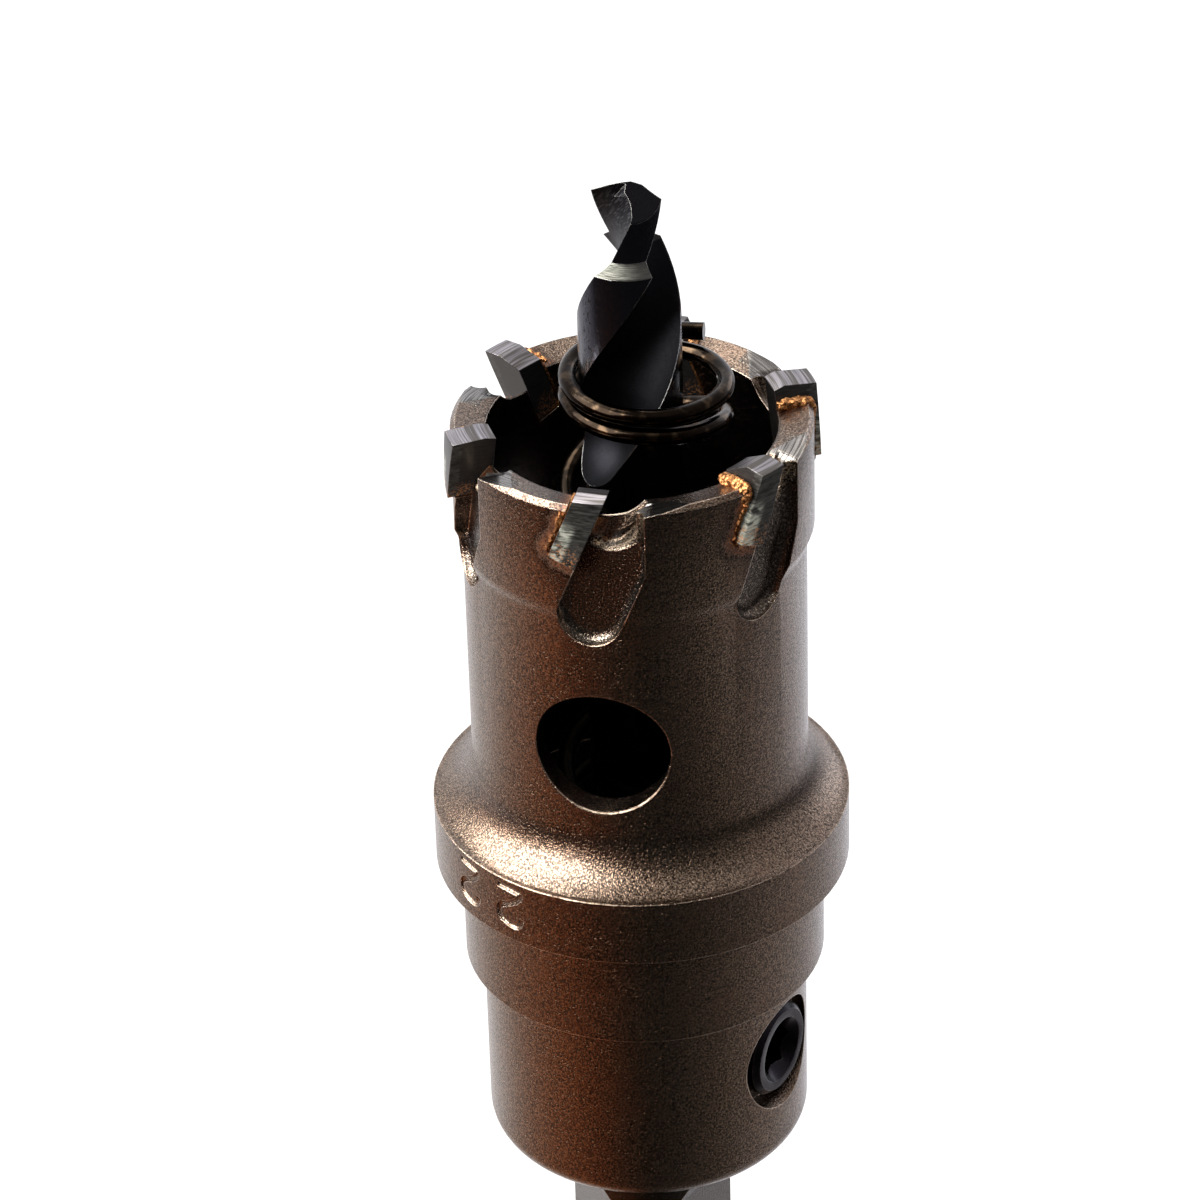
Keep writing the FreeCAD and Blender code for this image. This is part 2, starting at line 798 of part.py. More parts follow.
def make_ejector_spring():
    """Compression spring round the drill: the wire leans with its upper coils."""
    path = smooth_wire(spring_path())
    first = path.Edges[0]
    heading = first.tangentAt(first.FirstParameter)
    start = first.valueAt(first.FirstParameter)
    wire_radius = size("wire_diameter").number / 2
    section = Part.Wire(Part.makeCircle(wire_radius, start, heading))
    solid = path.makePipeShell([section], True, False)
    expected = math.pi * wire_radius ** 2 * path.Length
    if abs(solid.Volume / expected - 1) > 0.02:
        raise RuntimeError("the spring's wire does not fill its path")
    spring = doc.addObject("Part::Feature", "ejector_spring")
    spring.Label = "ejector_spring"
    spring.Shape = solid
    spring.Placement = FreeCAD.Placement()
    return spring


def check_document():
    """Stop where a feature failed or cut nothing."""
    for item in doc.Objects:
        if "Invalid" in item.State or "Error" in item.State:
            raise RuntimeError("%s has not been built" % item.Name)
        before = item.Base if item.TypeId == "Part::Cut" else getattr(item, "BaseFeature", None)
        if before is not None and abs(item.Shape.Volume - before.Shape.Volume) < 1e-4:
            raise RuntimeError("%s changes nothing" % item.Name)


def write_parts(parts):
    os.makedirs("parts", exist_ok=True)
    for part in parts:
        shape = part.Shape
        if shape.isNull() or not shape.isValid():
            raise RuntimeError("%s has no valid shape" % part.Label)
    for part in parts:
        part.Shape.exportStep("parts/%s.step" % part.Label)
        print(part.Label, "solids:", len(part.Shape.Solids), "volume:", round(part.Shape.Volume, 2))


sub_parts = [make_cutter_body()]
sub_parts += [make_tooth(copy) for copy in range(TOOTH_COUNT)]
sub_parts += [make_braze(copy) for copy in range(TOOTH_COUNT)]
sub_parts += [make_pilot_drill(), make_ejector_spring(), make_set_screw()]
doc.recompute()
check_document()
write_parts(sub_parts)
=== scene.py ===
# %% [markdown]
# # A hole saw for metal, dressed in Blender
#
# The tool stands on the end of its shank with its teeth up: a blasted bronze-brown cup, six brazed carbide teeth,
# a black pilot drill, the coiled spring that pushes the core out, and a set screw in the hub. The solids come from
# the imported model. This lesson replaces them with finished pieces, gives each surface its own material, and lights
# them the way a small product studio would.

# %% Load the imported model
import json
import math

import bmesh
import bpy
from mathutils import Matrix, Vector

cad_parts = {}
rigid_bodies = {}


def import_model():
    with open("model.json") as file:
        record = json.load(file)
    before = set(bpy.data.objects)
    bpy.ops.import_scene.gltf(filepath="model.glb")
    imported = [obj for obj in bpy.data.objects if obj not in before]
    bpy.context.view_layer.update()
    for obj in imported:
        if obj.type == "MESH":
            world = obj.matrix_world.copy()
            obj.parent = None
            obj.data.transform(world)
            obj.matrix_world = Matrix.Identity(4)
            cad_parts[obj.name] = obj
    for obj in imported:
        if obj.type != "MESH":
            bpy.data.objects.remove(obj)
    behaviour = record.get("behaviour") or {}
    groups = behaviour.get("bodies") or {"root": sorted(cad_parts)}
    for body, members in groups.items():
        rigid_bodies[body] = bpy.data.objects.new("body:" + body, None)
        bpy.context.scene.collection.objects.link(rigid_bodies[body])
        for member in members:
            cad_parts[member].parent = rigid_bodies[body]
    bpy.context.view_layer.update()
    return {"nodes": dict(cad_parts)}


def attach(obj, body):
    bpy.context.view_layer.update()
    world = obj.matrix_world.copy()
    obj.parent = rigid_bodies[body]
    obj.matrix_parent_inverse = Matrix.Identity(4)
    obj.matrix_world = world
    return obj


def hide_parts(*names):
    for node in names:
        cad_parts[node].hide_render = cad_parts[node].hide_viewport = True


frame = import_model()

nodes = frame["nodes"]
print("nodes:", ", ".join(sorted(nodes)))

# %% [markdown]
# ## Camera
#
# The picture was taken with a long lens from about 32 degrees above the tool, a little to the right of its front
# window. The lens and the place were worked out from the round edges of the tool, whose sizes are known, so that a
# render can be laid over the photograph. A camera could also be aimed with a Track To constraint, but plain numbers
# keep the small roll of the original.

# %% Set up the camera
MM = 0.001
FRONT_TURN = math.radians(13.45)
CAMERA_REACH = 264.24 * MM
CAMERA_HEIGHT = 232.95 * MM
CAMERA_PITCH = math.radians(32.351)
CAMERA_YAW = math.radians(-0.502)
CAMERA_ROLL = math.radians(-1.751)

bpy.ops.object.select_all(action="DESELECT")
bpy.ops.object.camera_add()
camera = bpy.context.object
camera.name = "product_camera"
camera.location = (
    CAMERA_REACH * math.sin(FRONT_TURN),
    -CAMERA_REACH * math.cos(FRONT_TURN),
    CAMERA_HEIGHT,
)
heading = Matrix.Rotation(FRONT_TURN - CAMERA_YAW, 3, "Z")
tilt = Matrix.Rotation(math.radians(90) - CAMERA_PITCH, 3, "X")
roll = Matrix.Rotation(CAMERA_ROLL, 3, "Z")
camera.rotation_euler = (heading @ tilt @ roll).to_euler()
camera.data.sensor_width = 36
camera.data.lens = 158.94
camera.data.shift_x = 0.00225
camera.data.shift_y = 0.0004
camera.data.clip_start = 0.01
bpy.context.scene.camera = camera
bpy.context.scene.view_settings.view_transform = "Standard"
print("camera at", [round(value / MM, 1) for value in camera.location], "mm")

# %% [markdown]
# ## A few helpers for materials
#
# Every finish here is a small tree of nodes that reads Object coordinates, so that a pattern stays on the metal in
# every view. The helpers add one node, join sockets and do arithmetic, which keeps the later cells short.

# %% Material helpers
def new_finish(name):
    """A new material; gives the material, its node tree and its main shader."""
    finish = bpy.data.materials.new(name)
    finish.use_nodes = True
    tree = finish.node_tree
    return finish, tree, tree.nodes["Principled BSDF"]


def node(tree, kind, inputs=None, **settings):
    """Add a node, set its settings, and fill or link its inputs."""
    made = tree.nodes.new("ShaderNode" + kind)
    for key, value in settings.items():
        setattr(made, key, value)
    for key, value in (inputs or {}).items():
        join(tree, value, made.inputs[key])
    return made


def join(tree, value, socket):
    """Link a socket, or store a plain number, vector or colour; a colour may come without its alpha."""
    if isinstance(value, bpy.types.NodeSocket):
        tree.links.new(value, socket)
        return
    if socket.type == "RGBA" and len(value) == 3:
        value = (*value, 1.0)
    socket.default_value = value


print("nodes can be added and joined")

# %% Arithmetic helpers
def maths(tree, operation, *values):
    """One Math node on numbers or sockets."""
    return node(tree, "Math", dict(enumerate(values)), operation=operation).outputs[0]


def times(tree, first, *others):
    """Product of numbers or sockets."""
    for other in others:
        first = maths(tree, "MULTIPLY", first, other)
    return first


def plus(tree, first, *others):
    """Sum of numbers or sockets."""
    for other in others:
        first = maths(tree, "ADD", first, other)
    return first


def minus(tree, first, second):
    """Difference of two numbers or sockets."""
    return maths(tree, "SUBTRACT", first, second)


def outside(tree, mask):
    """Mask of all that another mask leaves out."""
    return minus(tree, 1.0, mask)


def ramp_up(tree, value, low, high):
    """0 below low, 1 above high, and smooth between; low may be the greater one."""
    made = node(tree, "MapRange", {0: value, 1: low, 2: high, 3: 0.0, 4: 1.0}, interpolation_type="SMOOTHSTEP")
    return made.outputs[0]


def blend(tree, share, first, second, mode="MIX"):
    """Mix two colours by a share."""
    made = node(tree, "Mix", data_type="RGBA", blend_type=mode)
    join(tree, share, made.inputs[0])
    join(tree, first, made.inputs[6])
    join(tree, second, made.inputs[7])
    return made.outputs[2]


def tint(tree, skin, mask, share, tone):
    """Lay a tone over a colour where a mask is, up to a share."""
    return blend(tree, times(tree, mask, share), skin, tone)


print("masks and colours can be worked out")

# %% Texture helpers
def object_place(tree):
    """The point on the piece, in metres."""
    return node(tree, "TexCoord").outputs["Object"]


def noise_at(tree, place, scale, detail, roughness):
    """Noise read at a place, between 0 and 1."""
    inputs = {"Vector": place, "Scale": scale, "Detail": detail, "Roughness": roughness}
    return node(tree, "TexNoise", inputs).outputs[0]


def grain(tree, size_mm, detail=2.0, stretch=(1, 1, 1), roughness=0.5, place=None):
    """Noise whose lumps are about size_mm wide, stretched by a factor on each axis."""
    mapping = node(tree, "Mapping", {0: place or object_place(tree), 3: tuple(1 / part for part in stretch)})
    return noise_at(tree, mapping.outputs[0], 1 / (size_mm * MM), detail, roughness)


def bump(tree, height, depth_mm, normal=None):
    """Bump from a height between 0 and 1 that stands for depth_mm."""
    made = node(tree, "Bump", {"Height": height, "Distance": depth_mm * MM, "Strength": 1.0})
    if normal is not None:
        join(tree, normal, made.inputs["Normal"])
    return made.outputs[0]


def fill_shader(tree, shader, colour, roughness, normal, metallic=1.0):
    """Give a finish its four main inputs."""
    for name, value in (("Base Color", colour), ("Roughness", roughness), ("Normal", normal), ("Metallic", metallic)):
        join(tree, value, shader.inputs[name])


print("helpers ready")

# %% [markdown]
# ## Floor, background and studio light
#
# The photograph shows the tool on pure white. The floor is white paper: the camera sees it at full white through
# Light Path, while its plain diffuse part still catches the tool's shadow. Metal shows what surrounds it, so paper
# and room also have a look of their own for reflections, a ring of tones by direction from the tool. It is dark
# towards the camera, where the photographer's side is unlit, warm brown at the front left, and bright beside and
# behind. That is what makes the middle of the cup dark and its sides pale. The ring belongs to floor and room, so it
# holds still in every view.

# %% A ring of tones round the tool
RING = (
    (-180, (0.95, 0.95, 1.00)), (-150, (1.00, 0.97, 0.97)), (-128, (0.92, 0.87, 0.85)), (-104, (0.69, 0.53, 0.45)),
    (-84, (0.57, 0.33, 0.225)), (-68, (0.51, 0.225, 0.125)), (-52, (0.40, 0.15, 0.074)), (-38, (0.26, 0.10, 0.053)),
    (-24, (0.156, 0.074, 0.047)), (-12, (0.077, 0.055, 0.042)), (0, (0.045, 0.042, 0.040)), (14, (0.045, 0.042, 0.040)),
    (28, (0.09, 0.078, 0.074)), (42, (0.125, 0.11, 0.105)), (56, (0.20, 0.185, 0.18)), (72, (0.33, 0.30, 0.29)),
    (88, (0.47, 0.43, 0.42)), (108, (0.56, 0.54, 0.55)), (136, (0.86, 0.85, 0.90)), (160, (1.05, 1.05, 1.12)),
    (180, (0.95, 0.95, 1.00)),
)
FAR_RING = (
    (-180, (0.95, 0.95, 1.00)), (-150, (0.95, 0.93, 0.95)), (-118, (0.75, 0.74, 0.78)), (-96, (0.45, 0.43, 0.46)),
    (-78, (0.06, 0.055, 0.06)), (-50, (0.03, 0.027, 0.028)), (60, (0.02, 0.02, 0.022)), (110, (0.04, 0.04, 0.045)),
    (140, (0.25, 0.25, 0.27)), (158, (0.85, 0.85, 0.90)), (180, (0.95, 0.95, 1.00)),
)


def ring_of_tones(tree, direction, ring=RING):
    """Colour of the surroundings by the heading of a direction, 0 degrees towards the camera and 90 to its right."""
    sideways = (math.cos(FRONT_TURN), math.sin(FRONT_TURN), 0)
    forwards = (math.sin(FRONT_TURN), -math.cos(FRONT_TURN), 0)
    across = node(tree, "VectorMath", {0: direction, 1: sideways}, operation="DOT_PRODUCT").outputs["Value"]
    ahead = node(tree, "VectorMath", {0: direction, 1: forwards}, operation="DOT_PRODUCT").outputs["Value"]
    heading = maths(tree, "ARCTAN2", across, ahead)
    share = maths(tree, "MULTIPLY_ADD", heading, 0.5 / math.pi, 0.5)
    tones = node(tree, "ValToRGB", {0: share})
    for angle, tone in ring[1:-1]:
        tones.color_ramp.elements.new(0.5 + angle / 360).color = tone + (1.0,)
    tones.color_ramp.elements[0].color = ring[0][1] + (1.0,)
    tones.color_ramp.elements[-1].color = ring[-1][1] + (1.0,)
    return tones.outputs[0]


print("rings with", len(RING), "and", len(FAR_RING), "tones")

# %% Make the floor
NEAR_REACH, FAR_REACH = 0.112, 0.150
PAPER_WHITE = 1.15
WHITE_SHARE = 0.82

bpy.ops.object.select_all(action="DESELECT")
bpy.ops.mesh.primitive_plane_add(size=6)
floor = bpy.context.object
floor.name = "paper_floor"

paper, tree, shader = new_finish("white_paper")
tree.nodes.remove(shader)
path = node(tree, "LightPath")
place = object_place(tree)
reach = node(tree, "VectorMath", {0: place}, operation="LENGTH").outputs["Value"]
floor_tones = blend(tree, ramp_up(tree, reach, NEAR_REACH, FAR_REACH), ring_of_tones(tree, place),
                    ring_of_tones(tree, place, FAR_RING))
mirror_look = node(tree, "Emission", {0: floor_tones, 1: 1.0})
matt_look = node(tree, "BsdfDiffuse", {0: (0.8, 0.8, 0.8)})
white_look = node(tree, "Emission", {0: (1, 1, 1), 1: PAPER_WHITE})
camera_look = node(tree, "MixShader", {0: WHITE_SHARE, 1: matt_look.outputs[0], 2: white_look.outputs[0]})
seen_in_metal = maths(tree, "MAXIMUM", path.outputs["Is Glossy Ray"], path.outputs["Is Transmission Ray"])
first = node(tree, "MixShader", {0: path.outputs["Is Camera Ray"], 1: matt_look.outputs[0], 2: camera_look.outputs[0]})
second = node(tree, "MixShader", {0: seen_in_metal, 1: first.outputs[0], 2: mirror_look.outputs[0]})
join(tree, second.outputs[0], tree.nodes["Material Output"].inputs[0])
floor.data.materials.append(paper)
print("floor ready")

# %% Make the world
world = bpy.data.worlds.new("studio")
bpy.context.scene.world = world
world.use_nodes = True
tree = world.node_tree
tree.nodes.clear()
path = node(tree, "LightPath")
direction = node(tree, "TexCoord").outputs["Generated"]
height = node(tree, "SeparateXYZ", {0: direction}).outputs["Z"]
overhead = ramp_up(tree, height, 0.45, 0.95)
room = blend(tree, overhead, ring_of_tones(tree, direction), (0.55, 0.52, 0.50))
seen_in_metal = maths(tree, "MAXIMUM", path.outputs["Is Glossy Ray"], path.outputs["Is Transmission Ray"])
soft = blend(tree, seen_in_metal, (0.45, 0.45, 0.46), room)
seen = blend(tree, path.outputs["Is Camera Ray"], soft, (1, 1, 1))
light = node(tree, "Background", {0: seen, 1: 1.0})
output = node(tree, "OutputWorld")
join(tree, light.outputs[0], output.inputs[0])
print("world ready")

# %% Hang the soft boxes
CUP_MIDDLE = Vector((0, 0, 60 * MM))


def soft_box(name, heading, height, reach, wide, tall, strength, colour):
    """Light that looks at the middle of the cup; heading and height are degrees, 0 towards the camera."""
    turn = FRONT_TURN + math.radians(heading)
    rise = math.radians(height)
    direction = Vector((math.sin(turn) * math.cos(rise), -math.cos(turn) * math.cos(rise), math.sin(rise)))
    bpy.ops.object.light_add(type="AREA", location=CUP_MIDDLE + direction * reach)
    lamp = bpy.context.object
    lamp.name = name
    lamp.data.shape = "RECTANGLE"
    lamp.data.size = wide
    lamp.data.size_y = tall
    lamp.data.energy = strength * math.pi * wide * tall
    lamp.data.color = colour
    lamp.rotation_euler = direction.to_track_quat("Z", "Y").to_euler()


soft_box("left_box", heading=-74, height=40, reach=0.6, wide=0.76, tall=0.50, strength=9.8, colour=(1.0, 0.97, 0.92))
soft_box("top_box", heading=-140, height=62, reach=0.7, wide=0.56, tall=0.40, strength=3.6, colour=(1.0, 0.96, 0.90))
soft_box("right_box", heading=140, height=12, reach=0.8, wide=0.40, tall=0.34, strength=1.0, colour=(0.96, 0.96, 1.0))

# %% [markdown]
# ## Copies of the solids
#
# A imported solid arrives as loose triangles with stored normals. A copy drops those, is merged by distance and loses
# the edges inside its flat faces, so that it can be bevelled and cut like a hand-made mesh. It is shaded smooth up to
# a sharp edge, and then stands for the solid.

# %% Open and close a mesh
MERGE_DISTANCE = 0.0005 * MM
SHARP_ANGLE = math.radians(28)


def take_up(piece):
    """Make a piece the only selected and active one."""
    bpy.ops.object.select_all(action="DESELECT")
    bpy.context.view_layer.objects.active = piece
    piece.select_set(True)


def edit_mesh(piece):
    """Open the mesh of a piece."""
    take_up(piece)
    bpy.ops.object.mode_set(mode="EDIT")
    bpy.ops.mesh.select_mode(type="VERT")


def close_mesh():
    """Leave edit mode and shade smooth up to a sharp edge."""
    bpy.ops.object.mode_set(mode="OBJECT")
    bpy.ops.object.shade_smooth_by_angle(angle=SHARP_ANGLE)


print("a mesh can be opened and closed")

# %% Copy, change and hand in
def copy_of(node_name, name, flat_angle=0.6):
    """Merged, smooth-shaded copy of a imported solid, with a mesh of its own."""
    piece = bpy.data.objects.new(name, nodes[node_name].data.copy())
    bpy.context.collection.objects.link(piece)
    take_up(piece)
    bpy.ops.mesh.customdata_custom_splitnormals_clear()
    edit_mesh(piece)
    bpy.ops.mesh.select_all(action="SELECT")
    bpy.ops.mesh.remove_doubles(threshold=MERGE_DISTANCE)
    if flat_angle:
        bpy.ops.mesh.dissolve_limited(angle_limit=math.radians(flat_angle))
    close_mesh()
    piece.data.materials.clear()
    return piece


def apply_modifier(piece, kind, **settings):
    """Add a modifier, set it and apply it."""
    take_up(piece)
    bpy.ops.object.modifier_add(type=kind)
    modifier = piece.modifiers[-1]
    for key, value in settings.items():
        setattr(modifier, key, value)
    bpy.ops.object.modifier_apply(modifier=modifier.name)


def hand_in(piece, finish, slot, *node_names):
    """Give a finished piece its material and its place in the model."""
    piece.data.materials.clear()
    piece.data.materials.append(finish)
    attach(piece, "root")
    if node_names:
        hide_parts(*node_names)


print("copying helpers ready")

# %% [markdown]
# ## Where a tooth sits
#
# Six teeth stand at equal steps round the rim, and each leans by 22 degrees. Many places on the head are easiest to
# name from the tooth beside them. A point's heading is folded back by whole steps of 60 degrees, and its place is then
# given as millimetres across the tooth from its leading face, and along it from its tip. What is said of the front
# tooth in this way holds for all six.

# %% Place beside a tooth
TOOTH_STEP = math.radians(60)
TOOTH_LEAN = math.radians(22)
TOOTH_LEAD = 0.85
TOOTH_TIP = 78.75
LEAN_SINE, LEAN_COSINE = math.sin(TOOTH_LEAN), math.cos(TOOTH_LEAN)


def place_of(point):
    """Reach from the axis, heading and height of a point, in mm and radians; heading 0 is the front tooth."""
    return math.hypot(point.x, point.y) / MM, math.atan2(point.x, -point.y), point.z / MM


def ring_point(reach, heading, height):
    """The point at a reach, heading and height, in metres."""
    return (reach * MM * math.sin(heading), -reach * MM * math.cos(heading), height * MM)


def across_tooth(reach, heading, height):
    """Millimetres across the nearest tooth, from its leading face."""
    heading -= round(heading / TOOTH_STEP) * TOOTH_STEP
    return (reach * math.sin(heading) - TOOTH_LEAD) * LEAN_COSINE - (height - TOOTH_TIP) * LEAN_SINE


print("a tooth leans by", round(math.degrees(TOOTH_LEAN)), "degrees, one every", round(math.degrees(TOOTH_STEP)))

# %% [markdown]
# ## Round floors of the gullets
#
# Each slot in front of a tooth was milled with a cutter whose corner is round, so floor and wall meet in a hollow
# radius. On the real cup that radius is a bright crescent at the slot's lower end. The solid has a sharp corner
# there. The floor's edges are the only hollow right angles in the lower head, so they can be picked by angle and
# place, and then bevelled.

# %% Pick edges
def pick_edges(piece, wanted):
    """Open a mesh and select the edges whose angle and place pass a test; gives how many."""
    edit_mesh(piece)
    bpy.ops.mesh.select_all(action="DESELECT")
    bpy.ops.mesh.select_mode(type="EDGE")
    mesh = bmesh.from_edit_mesh(piece.data)
    picked = 0
    for edge in mesh.edges:
        middle = (edge.verts[0].co + edge.verts[1].co) / 2
        if len(edge.link_faces) == 2 and wanted(edge.calc_face_angle_signed(), *place_of(middle)):
            edge.select_set(True)
            picked += 1
    bmesh.update_edit_mesh(piece.data)
    return picked


print("edges can be picked by angle and place")

# %% Bevel the gullet floors
GULLET_RADIUS = 0.6
GULLET_HEIGHTS = (68.0, 78.0)
GULLET_REACH = 9.2
HOLLOW_ANGLE = -math.radians(75)
SEAT_MARGIN = 0.12


def on_gullet_floor(angle, reach, heading, height):
    """A hollow corner of a gullet, but not the one under a tooth."""
    in_gullet = GULLET_HEIGHTS[0] < height < GULLET_HEIGHTS[1] and reach > GULLET_REACH
    under_tooth = abs(across_tooth(reach, heading, height)) < SEAT_MARGIN
    return angle < HOLLOW_ANGLE and in_gullet and not under_tooth


body = copy_of("cutter_body", "cup_body")
picked = pick_edges(body, on_gullet_floor)
bpy.ops.mesh.bevel(offset=GULLET_RADIUS * MM, segments=4, profile=0.5, affect="EDGES", clamp_overlap=False)
close_mesh()
print("gullet floors:", picked, "edges rounded")

# %% [markdown]
# ## Broken edges of the windows and the screw hole
#
# The two round windows were deburred, and their lower edge shows as a bright line, so they get an even bevel. The
# screw hole has a countersunk entry that catches the light at its lower lip. A slim cone, set a hair low, is taken
# out of the hub. Because the hub is round, the cone only reaches the metal above and below the hole.

# %% Bevel the windows
WALL_RADIUS = 10.1
WINDOW_HEIGHTS = (56.5, 67.5)
WINDOW_BEVEL = 0.13


def on_window_rim(angle, reach, _, height):
    """A sharp edge in the cup's outer wall, at the height of the windows."""
    in_wall = abs(reach - WALL_RADIUS) < 0.08 and WINDOW_HEIGHTS[0] < height < WINDOW_HEIGHTS[1]
    return abs(angle) > math.radians(30) and in_wall


picked = pick_edges(body, on_window_rim)
bpy.ops.mesh.bevel(offset=WINDOW_BEVEL * MM, segments=2, profile=0.5, affect="EDGES", clamp_overlap=False)
close_mesh()
print("windows:", picked, "edges")

# %% Countersink the screw hole
SCREW_HEIGHT = 35.95
SCREW_TURN = math.radians(71.5)
SCREW_OUTWARDS = Vector((math.sin(SCREW_TURN), -math.cos(SCREW_TURN), 0))


def take_out(piece, cutter):
    """Cut one closed mesh out of another, and delete the cutter."""
    apply_modifier(piece, "BOOLEAN", operation="DIFFERENCE", solver="MANIFOLD", object=cutter)
    bpy.data.objects.remove(cutter)


def cone_along_screw(small, large, start, end, drop=0.0):
    """Cone on the screw's axis from one reach to another; drop lowers it. All in mm."""
    bpy.ops.object.select_all(action="DESELECT")
    bpy.ops.mesh.primitive_cone_add(
        vertices=96, radius1=small * MM, radius2=large * MM, depth=(end - start) * MM,
        location=SCREW_OUTWARDS * (start + end) / 2 * MM + Vector((0, 0, (SCREW_HEIGHT - drop) * MM)),
        rotation=SCREW_OUTWARDS.to_track_quat("Z", "Y").to_euler())
    return bpy.context.object


take_out(body, cone_along_screw(small=3.245, large=3.945, start=8.6, end=10.6, drop=0.16))
edit_mesh(body)
close_mesh()
print("body after the countersink:", len(body.data.polygons), "faces")

# %% [markdown]
# ## Sloping top of the flange
#
# The hollow radius between cup and flange doesn't end level: it still falls a little where it meets the flange's
# edge. The photograph shows that, because the light from the left reaches the very edge. The rings of points
# between cup and edge are moved onto one larger arc that ends with that fall.

# %% Reshape the flange's top
FLANGE_TOP = 52.45
TOP_ARC = 3.62
TOP_EDGE = 12.46
EDGE_DROP = 0.12
EDGE_ANGLE = math.radians(70)
ARC_START = FLANGE_TOP - EDGE_DROP + TOP_ARC * math.sin(EDGE_ANGLE)

edit_mesh(body)
mesh = bmesh.from_edit_mesh(body.data)
moved = 0
for vertex in mesh.verts:
    reach, heading, height = place_of(vertex.co)
    if WALL_RADIUS - 0.02 < reach < TOP_EDGE and FLANGE_TOP - 0.2 < height < FLANGE_TOP + 2.25:
        fall = math.acos(max(-1, min(1, 1 - (reach - WALL_RADIUS) / TOP_ARC)))
        vertex.co.z = (ARC_START - TOP_ARC * math.sin(fall)) * MM
        moved += 1
bmesh.update_edit_mesh(body.data)
close_mesh()
print("flange top:", moved, "points moved")

# %% [markdown]
# ## Size figures on the flange
#
# The flange carries the cutter's diameter, two plain engraved figures that read the right way up when the tool hangs
# in a drill. An engraving cutter leaves a round-bottomed groove of even width. The same groove comes from sweeping a
# round bar along the stroke and taking it out of the flange with a boolean. The flange's wall gets more faces first,
# so that the cut doesn't disturb its smooth shading.

# %% Add faces to the flange's wall
FLANGE_RADIUS = 12.55

edit_mesh(body)
bpy.ops.mesh.select_all(action="DESELECT")
bpy.ops.mesh.select_mode(type="FACE")
mesh = bmesh.from_edit_mesh(body.data)
for face in mesh.faces:
    centre = face.calc_center_median()
    on_wall = place_of(centre)[0] > FLANGE_RADIUS - 0.1 and abs(face.normal.z) < 0.05
    if on_wall and centre.x < 0 and centre.y < 0:
        face.select_set(True)
bmesh.update_edit_mesh(body.data)
bpy.ops.mesh.subdivide(number_cuts=3)
mesh = bmesh.from_edit_mesh(body.data)
for vertex in mesh.verts:
    reach = place_of(vertex.co)[0]
    if vertex.select and abs(reach - FLANGE_RADIUS) < 0.06:
        vertex.co.x *= FLANGE_RADIUS / reach
        vertex.co.y *= FLANGE_RADIUS / reach
bmesh.update_edit_mesh(body.data)
close_mesh()
print("body:", len(body.data.polygons), "faces")

# %% Sweep a bar
def swept_bar(name, points, steps, sides):
    """Closed round bar along a smooth line; each point has a place in metres and a thickness in mm."""
    bpy.ops.object.select_all(action="DESELECT")
    bpy.ops.curve.primitive_nurbs_path_add(location=(0, 0, 0))
    curve = bpy.context.object.data
    curve.splines.clear()
    line = curve.splines.new("NURBS")
    line.points.add(len(points) - 1)
    for point, (place, thickness) in zip(line.points, points):
        point.co = (*place, 1)
        point.radius = thickness
    line.order_u = 3
    line.use_endpoint_u = True
    line.resolution_u = steps
    curve.dimensions = "3D"
    curve.bevel_depth = MM
    curve.bevel_resolution = sides
    curve.use_fill_caps = True
    bpy.ops.object.convert(target="MESH")
    bar = bpy.context.object
    bar.name = name
    return bar


print("bars can be swept")

# %% Cut the figures
FIGURE_MIDDLE = 50.47
FIGURE_PLACES = (-9.22, -5.70)
STROKE_RADIUS = 0.19
TWO_STROKE = (
    (-0.86, 1.33), (-0.30, 1.29), (0.40, 1.24), (0.80, 1.20), (0.84, 1.02), (0.62, 0.66), (0.10, 0.28),
    (-0.42, 0.06), (-0.82, -0.22), (-0.92, -0.62), (-0.76, -0.98), (-0.42, -1.18), (0.05, -1.30),
    (0.52, -1.30), (0.80, -1.02), (0.86, -0.62),
)

for arc in FIGURE_PLACES:
    stroke = [(ring_point(FLANGE_RADIUS, (arc + across) / FLANGE_RADIUS, FIGURE_MIDDLE + up), STROKE_RADIUS)
              for across, up in TWO_STROKE]
    bar = swept_bar("groove_bar", stroke, steps=4, sides=3)
    edit_mesh(bar)
    bpy.ops.mesh.select_all(action="SELECT")
    bpy.ops.mesh.remove_doubles(threshold=MERGE_DISTANCE)
    bpy.ops.mesh.normals_make_consistent(inside=False)
    close_mesh()
    take_out(body, bar)
edit_mesh(body)
close_mesh()
print("body after engraving:", len(body.data.polygons), "faces")

# %% [markdown]
# ## Where a finish sits round the rim
#
# What brazing and grinding did to one tooth's surroundings they did to all six. So the finishes read the same
# folded place as above, built from Math nodes: a point's heading is turned back by whole steps, and then given as
# millimetres across and along the leaning tooth. Masks made from these two numbers repeat by themselves.

# %% Height, reach and heading, in nodes
def length_of(tree, first, second):
    """Length of the long side over two short ones."""
    return maths(tree, "SQRT", plus(tree, times(tree, first, first), times(tree, second, second)))


def height_of(tree):
    """Height of a point, in mm."""
    return times(tree, node(tree, "SeparateXYZ", {0: object_place(tree)}).outputs["Z"], 1 / MM)


def reach_of(tree):
    """Distance of a point from the axis, in mm."""
    parts = node(tree, "SeparateXYZ", {0: object_place(tree)}).outputs
    return times(tree, length_of(tree, parts["X"], parts["Y"]), 1 / MM)


def heading_of(tree):
    """Heading of a point in radians; 0 is the front tooth."""
    parts = node(tree, "SeparateXYZ", {0: object_place(tree)}).outputs
    return maths(tree, "ARCTAN2", parts["X"], times(tree, parts["Y"], -1))


print("places can be read")

# %% Distance from a tooth, in nodes
TOOTH_HALF_WIDTH = 0.90
TOOTH_MIDDLE = -1.50
TOOTH_HALF_LENGTH = 3.50


